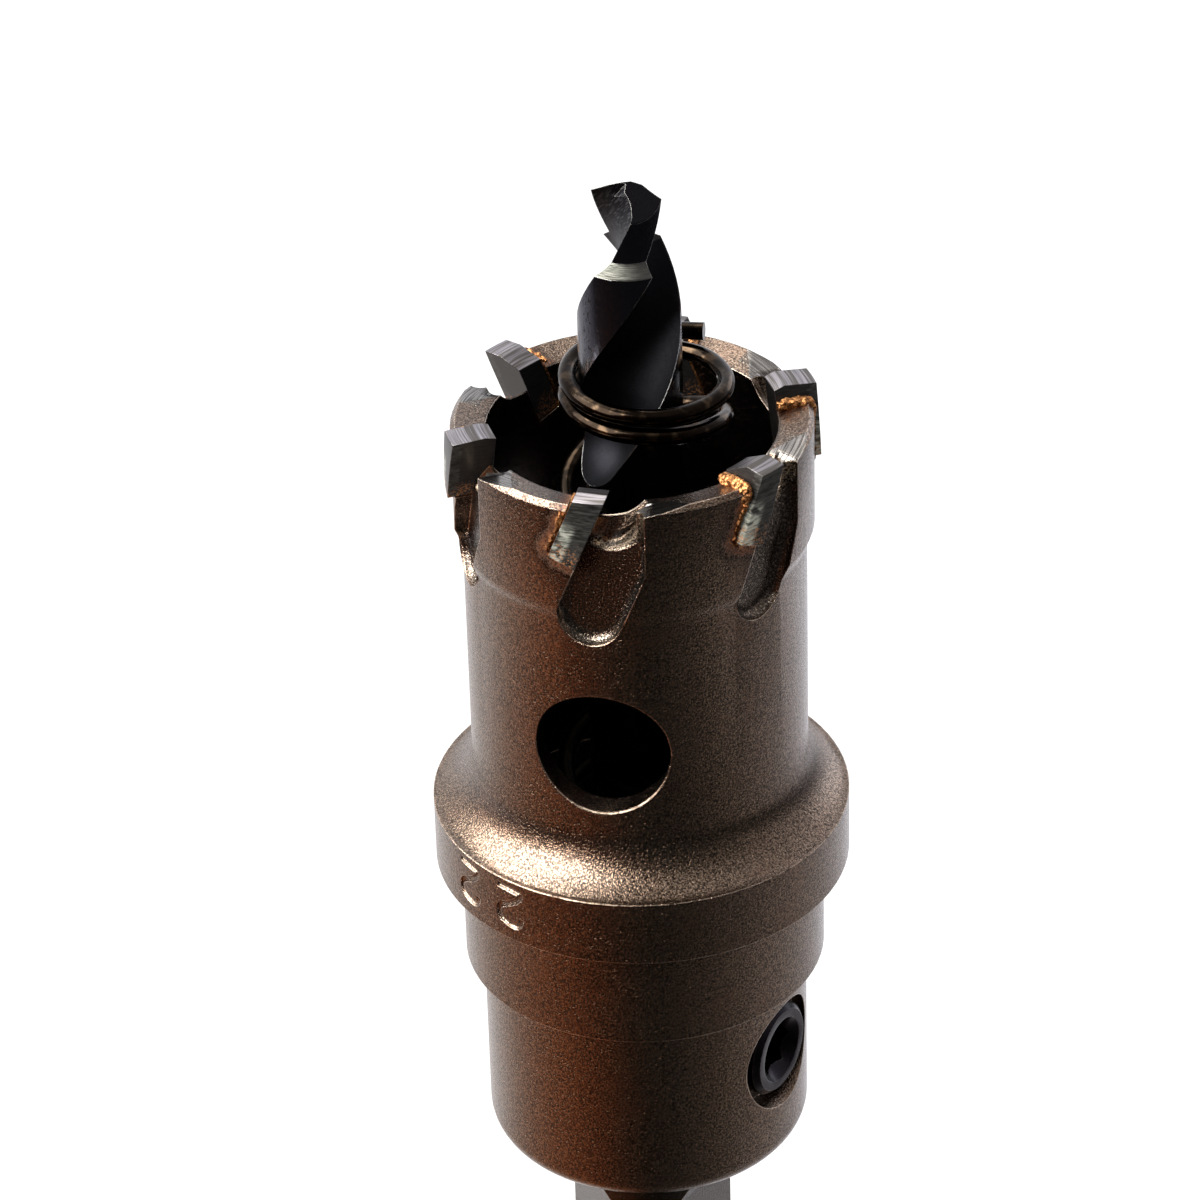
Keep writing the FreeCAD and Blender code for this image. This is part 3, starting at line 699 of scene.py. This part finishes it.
def beside_tooth(tree):
    """Millimetres across a tooth from its leading face, and along it from its tip."""
    heading = heading_of(tree)
    steps = maths(tree, "ROUND", maths(tree, "DIVIDE", heading, TOOTH_STEP))
    rest = minus(tree, heading, times(tree, steps, TOOTH_STEP))
    sideways = minus(tree, times(tree, reach_of(tree), maths(tree, "SINE", rest)), TOOTH_LEAD)
    upwards = minus(tree, height_of(tree), TOOTH_TIP)
    across = minus(tree, times(tree, sideways, LEAN_COSINE), times(tree, upwards, LEAN_SINE))
    along = plus(tree, times(tree, sideways, LEAN_SINE), times(tree, upwards, LEAN_COSINE))
    return across, along


def past(tree, value, middle, half_width):
    """How far a value lies outside a band, 0 within it."""
    off_middle = maths(tree, "ABSOLUTE", minus(tree, value, middle))
    return maths(tree, "MAXIMUM", minus(tree, off_middle, half_width), 0.0)


def distance_from_tooth(tree):
    """Millimetres from the outline of the nearest tooth, seen from outside the cup."""
    across, along = beside_tooth(tree)
    return length_of(tree, past(tree, across, -TOOTH_HALF_WIDTH, TOOTH_HALF_WIDTH),
                     past(tree, along, TOOTH_MIDDLE, TOOTH_HALF_LENGTH))


print("folded place ready")

# %% [markdown]
# ## What tells one surface from another
#
# A finish also has to know how a surface was made. Grinding and turning leave lines that run round the axis, sharp
# edges get a painted highlight, and a flat or a ground face is told by how far it faces up. Painted masks could say
# the same, but masks worked out from the form still fit when the form changes.

# %% Scratches, edges and slopes, in nodes
RIM_RADIUS = 10.5


def ring_scratches(tree, pitch_mm, length_mm=6.0):
    """Grinding lines that run round the axis: noise that changes fast with reach and slowly along the rim."""
    lines = node(tree, "CombineXYZ", {0: maths(tree, "DIVIDE", reach_of(tree), pitch_mm),
                                      1: times(tree, heading_of(tree), RIM_RADIUS / length_mm)})
    return noise_at(tree, lines.outputs[0], 1.0, 3.0, 0.7)


def rounded_normal(tree, radius_mm):
    """Surface direction in which sharp edges are rounded over."""
    return node(tree, "Bevel", {"Radius": radius_mm * MM}, samples=4).outputs[0]


def edge_highlights(tree, rounded):
    """Mask of sharp edges, where a painted highlight goes."""
    plain = node(tree, "NewGeometry").outputs["Normal"]
    likeness = node(tree, "VectorMath", {0: rounded, 1: plain}, operation="DOT_PRODUCT").outputs["Value"]
    patchy = ramp_up(tree, grain(tree, 0.5, 2), 0.25, 0.55)
    return times(tree, ramp_up(tree, likeness, 0.985, 0.90), patchy)


def facing(tree):
    """The part of the surface's own direction that points up."""
    return node(tree, "SeparateXYZ", {0: node(tree, "NewGeometry").outputs["True Normal"]}).outputs["Z"]


print("surface helpers ready")

# %% [markdown]
# ## Blasted bronze steel
#
# The cup, flange, collar, hub and shank are one turned and milled piece of steel with a thin bronze-brown oxide skin
# over a bead-blasted ground. The skin is a metal with a dark warm colour under a thin clear coat, which turns it
# neutral at its rims as the photograph shows. The blasting is a fine grain of a tenth of a millimetre, with small
# pits and a few bare specks. The bore and the shank, which lie nearer the axis, are painted darker and plainer, as
# shade for the unlit inside of the cup; the shank shares that mask by its reach.

# %% Bronze skin
BORE_SHADE_EDGE = (8.62, 8.56)


def bronze_skin(tree, fine, pits):
    """Grained oxide colour, with painted shade in the bore, which also darkens the shank."""
    specks = ramp_up(tree, grain(tree, 0.12, 0), 0.70, 0.78)
    patches = grain(tree, 2.6, 3)
    skin = blend(tree, ramp_up(tree, fine, 0.36, 0.66), (0.080, 0.056, 0.042), (0.330, 0.245, 0.186))
    skin = blend(tree, ramp_up(tree, patches, 0.45, 0.95), skin, (0.230, 0.148, 0.108))
    skin = tint(tree, skin, pits, 0.70, (0.018, 0.012, 0.009))
    skin = tint(tree, skin, specks, 0.25, (0.70, 0.54, 0.40))
    # Painted shade: near the axis the skin turns dark, for the unlit inside of the cup; the shank lies in the same
    # mask.
    return tint(tree, skin, ramp_up(tree, reach_of(tree), *BORE_SHADE_EDGE), 0.85, (0.030, 0.024, 0.020))


print("bronze skin ready")

# %% [markdown]
# ## Marks of brazing and milling
#
# The heat of brazing left a rust-brown halo round each tooth, with spilt copper at its inner edge. The gullets are
# painted darker, as shade in the slots, and keep bright grains. Where the slot runs out towards the rim lies a shallow
# dish, and its lower border carries a painted highlight, a bright crescent.

# %% Gullet masks
HEAD_STEP = 0.46
HEAD_STEP_HEIGHTS = (70.8, 71.4)
DISH_ACROSS = 0.3
DISH_ALONG = -1.4
DISH_DEPTH = 16.0  # in depths of the blasted grain


def in_a_gullet(tree, across):
    """Mask of the gullets; the head stands out further than the wall below it, so its depth is measured from there."""
    height, reach = height_of(tree), reach_of(tree)
    depth = minus(tree, reach, times(tree, ramp_up(tree, height, *HEAD_STEP_HEIGHTS), HEAD_STEP))
    return times(tree, ramp_up(tree, depth, WALL_RADIUS - 0.08, WALL_RADIUS - 0.16), ramp_up(tree, reach, 9.0, 9.3),
                 ramp_up(tree, across, -0.25, 0.0), ramp_up(tree, height, 67.5, GULLET_HEIGHTS[0]))


def dish_and_crescent(tree, gullet, across, along):
    """Masks of the dish near the rim, and of its border, which gets a painted highlight."""
    from_dish = length_of(tree, minus(tree, across, DISH_ACROSS), minus(tree, along, DISH_ALONG))
    dish = times(tree, gullet, ramp_up(tree, across, 0.1, 0.8), ramp_up(tree, from_dish, 2.65, 1.95))
    return dish, times(tree, dish, ramp_up(tree, from_dish, 1.5, 2.1))


print("gullet masks ready")

# %% Rust and copper round the teeth
def rust_and_gilt(tree, from_tooth, on_wall):
    """Masks of the rust halo, and of the spilt copper next to the tooth."""
    rust = times(tree, ramp_up(tree, from_tooth, 1.35, 0.35), ramp_up(tree, reach_of(tree), 8.4, 8.7))
    return rust, times(tree, rust, on_wall, ramp_up(tree, from_tooth, 0.26, 0.00))


def brazing_marks(tree, skin, fine, from_tooth, on_wall, rust, gilt):
    """Lay rust and spilt copper over the skin."""
    near = times(tree, ramp_up(tree, from_tooth, 0.95, 0.30), on_wall)
    rusty = blend(tree, near, (0.020, 0.008, 0.004), (0.140, 0.042, 0.012))
    rusty = blend(tree, ramp_up(tree, fine, 0.60, 0.36), rusty, (0.022, 0.009, 0.005))
    spilt_copper = blend(tree, ramp_up(tree, fine, 0.35, 0.65), (0.14, 0.046, 0.014), (0.50, 0.22, 0.08))
    return tint(tree, tint(tree, skin, rust, 0.9, rusty), gilt, 0.85, spilt_copper)


def gullet_shade_and_highlight(tree, skin, fine, gullet, crescent):
    """Darken the gullets as painted shade, with bright grains, and paint a highlight on the crescent."""
    # Painted shade: the gullets are darkened, more in red than in blue.
    skin = blend(tree, gullet, skin, (0.68, 0.78, 0.86), "MULTIPLY")
    bright_grains = times(tree, gullet, ramp_up(tree, fine, 0.56, 0.68))
    skin = tint(tree, skin, bright_grains, 0.7, (0.50, 0.42, 0.35))
    # Painted highlight: the crescent at the dish's lower border is lightened.
    crescent_highlight = times(tree, crescent, ramp_up(tree, fine, 0.40, 0.60))
    return tint(tree, skin, crescent_highlight, 0.95, (0.90, 0.72, 0.52))


print("marks ready")

# %% [markdown]
# ## Ground starts of the lands
#
# The flat tops of the lands are darker. The start of each land was ground after the colouring. It slopes
# by ten degrees, so its own direction tells it from the rest, and it is bare metal with lines round the axis.

# %% Ground facets
def ground_facets(tree, skin):
    """Colour with dark land tops and bare facets, and the mask of the facets."""
    up, height = facing(tree), height_of(tree)
    sloping = times(tree, ramp_up(tree, up, 0.975, 0.980), ramp_up(tree, up, 0.992, 0.989))
    ground = times(tree, sloping, ramp_up(tree, height, 77.3, 77.4))
    flat = times(tree, ramp_up(tree, up, 0.97, 0.98), ramp_up(tree, height, 77.3, 77.5))
    skin = tint(tree, skin, flat, 0.55, (0.030, 0.022, 0.017))
    bare = blend(tree, ramp_up(tree, ring_scratches(tree, 0.10), 0.35, 0.65),
                 (0.04, 0.037, 0.034), (0.38, 0.36, 0.34))
    return blend(tree, ground, skin, bare), ground


print("ground facets ready")

# %% Blasted steel finish
def blasted_steel():
    """Bronze-brown oxide over a bead-blasted surface, with all its marks, and painted shade and highlights."""
    finish, tree, shader = new_finish("blasted_bronze_steel")
    fine = grain(tree, 0.105, 1, roughness=0.6)
    pits = ramp_up(tree, grain(tree, 0.15, 1), 0.43, 0.35)
    across, along = beside_tooth(tree)
    gullet = in_a_gullet(tree, across)
    on_wall = outside(tree, gullet)
    dish, crescent = dish_and_crescent(tree, gullet, across, along)
    ragged = maths(tree, "MULTIPLY_ADD", grain(tree, 0.8, 3), 1.3, -0.65)
    from_tooth = plus(tree, distance_from_tooth(tree), ragged)
    rust, gilt = rust_and_gilt(tree, from_tooth, on_wall)
    rounded = rounded_normal(tree, 0.12)

    skin = bronze_skin(tree, fine, pits)
    skin = brazing_marks(tree, skin, fine, from_tooth, on_wall, rust, gilt)
    skin = gullet_shade_and_highlight(tree, skin, fine, gullet, crescent)
    # Painted highlight: sharp edges are lightened.
    skin = tint(tree, skin, edge_highlights(tree, rounded), 0.85, (0.80, 0.66, 0.54))
    skin, ground = ground_facets(tree, skin)

    rough = plus(tree, maths(tree, "MULTIPLY_ADD", fine, 0.12, 0.15), times(tree, rust, 0.10),
                 times(tree, crescent, 0.20))
    oxide = times(tree, ramp_up(tree, rust, 0.5, 1.0), on_wall)
    relief = times(tree, minus(tree, fine, times(tree, pits, 0.4)), outside(tree, ground))
    relief = plus(tree, relief, times(tree, gilt, grain(tree, 0.22, 2)), times(tree, dish, -DISH_DEPTH))
    fill_shader(tree, shader, skin, rough, bump(tree, relief, 0.028, rounded),
                metallic=maths(tree, "MULTIPLY_ADD", oxide, -0.50, 1.0))
    shader.inputs["Coat Weight"].default_value = 0.25
    shader.inputs["Coat Roughness"].default_value = 0.24
    shader.inputs["Coat IOR"].default_value = 1.5
    return finish


hand_in(body, blasted_steel(), "body_steel", "cutter_body")
print("body handed in")

# %% [markdown]
# ## Carbide teeth
#
# A tooth is a plate of sintered carbide, ground on its top and left as pressed on its sides. The top is grey metal
# with fine grinding lines round the axis. The sides are almost black and half matt, with dull streaks, a paler skin
# low on the outer face, and flecks of copper at the foot where the filler ran. The plates keep their solids' shape and
# get a hair of a bevel, because a ground edge still shows a thin line of light.

# %% Carbide tones
def carbide_top(tree, lines):
    """Grey metal with fine and wide grinding lines."""
    ground = blend(tree, ramp_up(tree, lines, 0.32, 0.68), (0.16, 0.15, 0.16), (0.46, 0.44, 0.47))
    return blend(tree, ramp_up(tree, ring_scratches(tree, 0.5, 20), 0.52, 0.42), ground, (0.13, 0.12, 0.11))


def carbide_sides(tree, streak):
    """Streaked sides with painted shade on their inner part, a pale skin and flecks of filler; gives the colour, and
    the mask of the pale skin.
    """
    across, along = beside_tooth(tree)
    reach = reach_of(tree)
    sides = blend(tree, ramp_up(tree, streak, 0.34, 0.66), (0.014, 0.014, 0.0135), (0.055, 0.055, 0.052))
    # Painted shade: the sides are darkened inside a reach of 10.35 mm, all but the outer face.
    sides = tint(tree, sides, ramp_up(tree, reach, 10.42, 10.35), 0.8, (0.020, 0.018, 0.018))
    pale = times(tree, ramp_up(tree, grain(tree, 1.1, 3), 0.34, 0.46), ramp_up(tree, along, -2.0, -2.9),
                 ramp_up(tree, across, -0.7, -1.1), ramp_up(tree, reach, 10.35, 10.45))
    pale_tone = blend(tree, ramp_up(tree, streak, 0.35, 0.62), (0.05, 0.052, 0.045), (0.34, 0.35, 0.30))
    sides = tint(tree, sides, pale, 0.85, pale_tone)
    low = ramp_up(tree, plus(tree, along, times(tree, grain(tree, 0.5, 3), 3.0)), -1.9, -3.0)
    flecks = times(tree, low, ramp_up(tree, grain(tree, 0.13, 3), 0.50, 0.60))
    return tint(tree, sides, flecks, 0.6, (0.42, 0.19, 0.08)), pale


print("carbide tones ready")

# %% Carbide finish
def carbide_plate():
    """Ground metal on top, and half matt on the sides."""
    finish, tree, shader = new_finish("ground_carbide")
    lines = ring_scratches(tree, 0.085)
    down_the_face = node(tree, "CombineXYZ", {0: times(tree, heading_of(tree), 14.0),
                                              1: times(tree, reach_of(tree), 1.5),
                                              2: times(tree, height_of(tree), 9.0)})
    streak = noise_at(tree, down_the_face.outputs[0], 1.0, 3.0, 0.65)
    sides, pale = carbide_sides(tree, streak)
    top = ramp_up(tree, facing(tree), 0.75, 0.85)
    matt = times(tree, maths(tree, "MULTIPLY_ADD", pale, 0.35, 0.5), outside(tree, top))
    relief = bump(tree, blend(tree, top, streak, lines), 0.006, rounded_normal(tree, 0.05))
    fill_shader(tree, shader, blend(tree, top, sides, carbide_top(tree, lines)),
                maths(tree, "MULTIPLY_ADD", streak, 0.2, 0.22), relief, metallic=outside(tree, matt))
    shader.inputs["Specular IOR Level"].default_value = 0.2
    return finish


carbide = carbide_plate()
for number in range(1, 7):
    plate = copy_of("tooth_%d" % number, "carbide_tooth_%d" % number)
    apply_modifier(plate, "BEVEL", width=0.035 * MM, segments=2, limit_method="ANGLE", angle_limit=math.radians(25))
    hand_in(plate, carbide, "tooth_carbide", "tooth_%d" % number)
print("teeth: 6 plates of", len(plate.data.polygons), "faces")

# %% [markdown]
# ## Beads of filler metal
#
# The teeth are brazed in with a copper alloy. Behind each tooth the filler stands proud on the land as a lumpy bead,
# runs over the edge, thins out down the tooth's side and turns in below its foot. It is a bar swept along that line,
# thick on top and thin below, then roughened with a clouds texture. The line is written once, for the front tooth.
# Each copy is turned to its tooth before it is roughened, so no two beads have the same lumps. The front bead starts
# only where the filler runs down the outside.

# %% Make one bead
BEAD_LINE = (
    (-2.00, -1.62, 8.45, 0.22), (-2.00, -1.58, 8.80, 0.34), (-2.02, -1.58, 9.3, 0.36), (-2.02, -1.58, 9.9, 0.34),
    (-1.98, -1.66, 10.38, 0.34), (-1.94, -1.95, 10.56, 0.27), (-1.92, -2.5, 10.55, 0.19), (-1.90, -3.2, 10.53, 0.14),
    (-1.88, -4.0, 10.52, 0.12), (-1.84, -4.8, 10.50, 0.15), (-1.60, -5.04, 10.50, 0.14), (-0.9, -5.06, 10.36, 0.12),
    (-0.3, -5.08, 10.20, 0.09),
)
FRONT_BEAD_START = 5
FULLNESS = (0.80, 1.15, 1.05, 0.9, 0.6, 0.85)

lumps = bpy.data.textures.new("filler_lumps", "CLOUDS")
lumps.noise_scale = 0.28 * MM
lumps.noise_depth = 1


def filler_bead(number):
    """Lumpy bead behind one tooth; number counts round the rim from the front."""
    points = []
    for across, along, reach, thick in BEAD_LINE if number else BEAD_LINE[FRONT_BEAD_START:]:
        sideways = TOOTH_LEAD + across * LEAN_COSINE + along * LEAN_SINE
        height = TOOTH_TIP - across * LEAN_SINE + along * LEAN_COSINE
        heading = TOOTH_STEP * number + math.asin(sideways / reach)
        points.append((ring_point(reach, heading, height), thick * FULLNESS[number]))
    bead = swept_bar("filler_bead", points, steps=6, sides=4)
    apply_modifier(bead, "REMESH", mode="VOXEL", voxel_size=0.055 * MM)
    apply_modifier(bead, "DISPLACE", texture=lumps, texture_coords="LOCAL", strength=0.30 * MM, mid_level=0.5)
    bpy.ops.object.shade_smooth()
    return bead


print("bead line has", len(BEAD_LINE), "points")

# %% [markdown]
# ## Copper finish and the six beads
#
# The filler is a rough cast copper colour, orange on its crowns, and dark brown in its hollows and further down the
# sides. Each bead joins the thin seam that is seen between tooth and cup, and together they stand for the seam's
# solid.

# %% Copper finish
def copper_filler():
    """Granular copper with dark hollows, darker towards the foot."""
    finish, tree, shader = new_finish("copper_filler")
    fine = grain(tree, 0.09, 3, roughness=0.65)
    hollows = ramp_up(tree, grain(tree, 0.26, 2), 0.52, 0.36)
    copper = blend(tree, ramp_up(tree, fine, 0.35, 0.65), (0.26, 0.09, 0.03), (0.85, 0.44, 0.18))
    copper = tint(tree, copper, ramp_up(tree, height_of(tree), 77.4, 75.6), 0.85, (0.07, 0.024, 0.009))
    copper = tint(tree, copper, hollows, 0.85, (0.07, 0.025, 0.010))
    fill_shader(tree, shader, copper, maths(tree, "MULTIPLY_ADD", fine, 0.3, 0.25), bump(tree, fine, 0.035))
    return finish


copper = copper_filler()
for number in range(6):
    bead = filler_bead(number)
    seam = copy_of("braze_seam_%d" % (number + 1), "braze_bead_%d" % (number + 1))
    take_up(seam)
    bead.select_set(True)
    bpy.ops.object.join()
    hand_in(seam, copper, "braze", "braze_seam_%d" % (number + 1))
print("beads: 6, the last of", len(seam.data.polygons), "faces")

# %% [markdown]
# ## Pilot drill
#
# The drill is high-speed steel, blackened all over and then ground where it cuts. Its round lands are a satin black
# that shows the floor, with scuffs along the left one. Its flutes are a duller black, and the shoulder under the step
# is bare, with turning lines. The face before each lip has fine grinding strokes. Land, flute and shoulder are told
# apart by their reach from the axis and by how far they face up, so that one material serves the whole drill.

# %% Drill tones
STRIP_HEADING = -0.72
STROKE_TURN = math.radians(-38)


def drill_lands(tree, fine):
    """Satin black lands; gives their colour, their mask and their scuffs."""
    reach = reach_of(tree)
    wide_land = ramp_up(tree, reach, 2.90, 2.96)
    step_land = times(tree, ramp_up(tree, height_of(tree), 89.1, 89.3), ramp_up(tree, reach, 2.02, 2.07))
    near_strip = maths(tree, "COSINE", minus(tree, heading_of(tree), STRIP_HEADING))
    left_strip = times(tree, ramp_up(tree, near_strip, 0.985, 0.998), wide_land)
    scuffs = ramp_up(tree, grain(tree, 0.20, 4, stretch=(1, 1, 2.2), roughness=0.7), 0.50, 0.60)
    scuffs = times(tree, scuffs, maths(tree, "MULTIPLY_ADD", left_strip, 0.8, 0.2))
    black = blend(tree, fine, (0.075, 0.078, 0.092), (0.125, 0.128, 0.150))
    return tint(tree, black, scuffs, 0.9, (0.020, 0.020, 0.024)), maths(tree, "MAXIMUM", wide_land, step_land), scuffs


def drill_point(tree, skin, fine, strokes, lip):
    """Grinding strokes before each lip, and the black flanks of the point."""
    stroke_tone = blend(tree, ramp_up(tree, strokes, 0.50, 0.68), (0.006, 0.006, 0.008), (0.070, 0.072, 0.082))
    skin = tint(tree, skin, lip, 0.85, stroke_tone)
    flank = times(tree, ramp_up(tree, facing(tree), 0.55, 0.62), ramp_up(tree, height_of(tree), 91.0, 91.1))
    return blend(tree, flank, skin, blend(tree, fine, (0.004, 0.004, 0.005), (0.011, 0.0105, 0.013)))


def drill_shoulder(tree, skin):
    """Bare turned shoulder under the step, with painted shade on its right."""
    height = height_of(tree)
    shoulder = times(tree, ramp_up(tree, facing(tree), 0.35, 0.45), ramp_up(tree, height, 90.0, 89.6),
                     ramp_up(tree, height, 88.45, 88.55))
    turned = ramp_up(tree, ring_scratches(tree, 0.05, 3), 0.3, 0.7)
    bare = blend(tree, turned, (0.05, 0.052, 0.047), (0.27, 0.28, 0.25))
    # Painted shade: the right side of the shoulder is darkened.
    bare = tint(tree, bare, ramp_up(tree, heading_of(tree), -0.1, 0.55), 0.85, (0.05, 0.05, 0.05))
    return blend(tree, shoulder, skin, bare)


print("drill tones ready")

# %% Drill finish
def blackened_drill():
    """Satin black lands, dull flutes, a bare shoulder and grinding strokes at the lips."""
    finish, tree, shader = new_finish("blackened_drill_steel")
    fine = grain(tree, 0.10, 3)
    land_black, land, scuffs = drill_lands(tree, fine)
    off_land = outside(tree, land)
    lip = times(tree, ramp_up(tree, height_of(tree), 89.3, 91.2), off_land)
    turned = node(tree, "VectorRotate", {"Vector": object_place(tree), "Axis": (0, 1, 0), "Angle": STROKE_TURN})
    strokes = grain(tree, 0.06, 2, stretch=(1.0, 9.0, 9.0), place=turned.outputs[0])
    rounded = rounded_normal(tree, 0.05)

    flute_black = blend(tree, fine, (0.009, 0.0095, 0.012), (0.022, 0.023, 0.028))
    skin = drill_point(tree, blend(tree, land, flute_black, land_black), fine, strokes, lip)
    skin = drill_shoulder(tree, skin)
    # Painted highlight: sharp edges are lightened.
    skin = tint(tree, skin, edge_highlights(tree, rounded), 0.55, (0.55, 0.56, 0.54))

    rough = plus(tree, maths(tree, "MULTIPLY_ADD", scuffs, 0.25, 0.15), times(tree, off_land, 0.38))
    relief = plus(tree, times(tree, fine, 0.5), times(tree, scuffs, land), times(tree, strokes, lip))
    fill_shader(tree, shader, skin, rough, bump(tree, relief, 0.006, rounded))
    return finish


drill = copy_of("pilot_drill", "twist_drill", 0)
hand_in(drill, blackened_drill(), "drill_steel", "pilot_drill")
print("drill:", len(drill.data.polygons), "faces")

# %% [markdown]
# ## Ejector spring
#
# The spring is hard-drawn wire, oiled and dark brown. Drawing leaves it smooth, so it shows narrow bright lines of
# light where it turns towards the lamps. Rubbing has left lighter patches. The coils inside the cup are painted
# darker, as shade, and are rougher than the ones above it.

# %% Spring finish
def oiled_wire():
    """Dark smooth wire, with painted shade inside the cup, where it is also rougher."""
    finish, tree, shader = new_finish("oiled_spring_wire")
    fine = grain(tree, 0.35, 4, roughness=0.6)
    rub = ramp_up(tree, grain(tree, 0.9, 3), 0.48, 0.66)
    shade_in_cup = ramp_up(tree, height_of(tree), 77.0, 70.0)
    skin = blend(tree, fine, (0.006, 0.0046, 0.0036), (0.020, 0.014, 0.010))
    skin = tint(tree, skin, rub, 0.5, (0.110, 0.075, 0.048))
    # Painted shade: the coils low in the cup are darkened; the same mask makes them rougher.
    skin = tint(tree, skin, shade_in_cup, 0.85, (0.012, 0.010, 0.008))
    rough = plus(tree, maths(tree, "MULTIPLY_ADD", fine, 0.12, 0.08), times(tree, shade_in_cup, 0.25))
    fill_shader(tree, shader, skin, rough, bump(tree, fine, 0.006))
    return finish


spring = copy_of("ejector_spring", "coil_spring", 0)
hand_in(spring, oiled_wire(), "spring_wire", "ejector_spring")
print("spring:", len(spring.data.polygons), "faces")

# %% [markdown]
# ## Set screw
#
# A blackened screw holds the drill. Its hexagon socket starts with a wide countersink that guides the key, and the
# rim of that countersink is the thin ring of light in the photograph. The solid has the plain socket. A cone is
# taken out of it here, and the edges get a small bevel.

# %% Screw finish
def blackened_screw():
    """Black steel with painted highlights on its edges."""
    finish, tree, shader = new_finish("blackened_screw_steel")
    fine = grain(tree, 0.12, 3)
    rounded = rounded_normal(tree, 0.07)
    skin = blend(tree, fine, (0.010, 0.0095, 0.012), (0.036, 0.034, 0.042))
    # Painted highlight: sharp edges get a light lilac tone.
    skin = tint(tree, skin, edge_highlights(tree, rounded), 0.7, (0.46, 0.42, 0.48))
    fill_shader(tree, shader, skin, maths(tree, "MULTIPLY_ADD", fine, 0.15, 0.16), bump(tree, fine, 0.006, rounded))
    return finish


print("screw finish ready")

# %% Countersink the screw
SCREW_FACE = 9.65

screw = copy_of("set_screw", "socket_screw")
take_out(screw, cone_along_screw(small=1.25, large=2.35, start=SCREW_FACE - 1.1, end=SCREW_FACE + 0.3))
apply_modifier(screw, "BEVEL", width=0.05 * MM, segments=2, limit_method="ANGLE", angle_limit=math.radians(30))
edit_mesh(screw)
close_mesh()
hand_in(screw, blackened_screw(), "screw_steel", "set_screw")
print("screw:", len(screw.data.polygons), "faces")
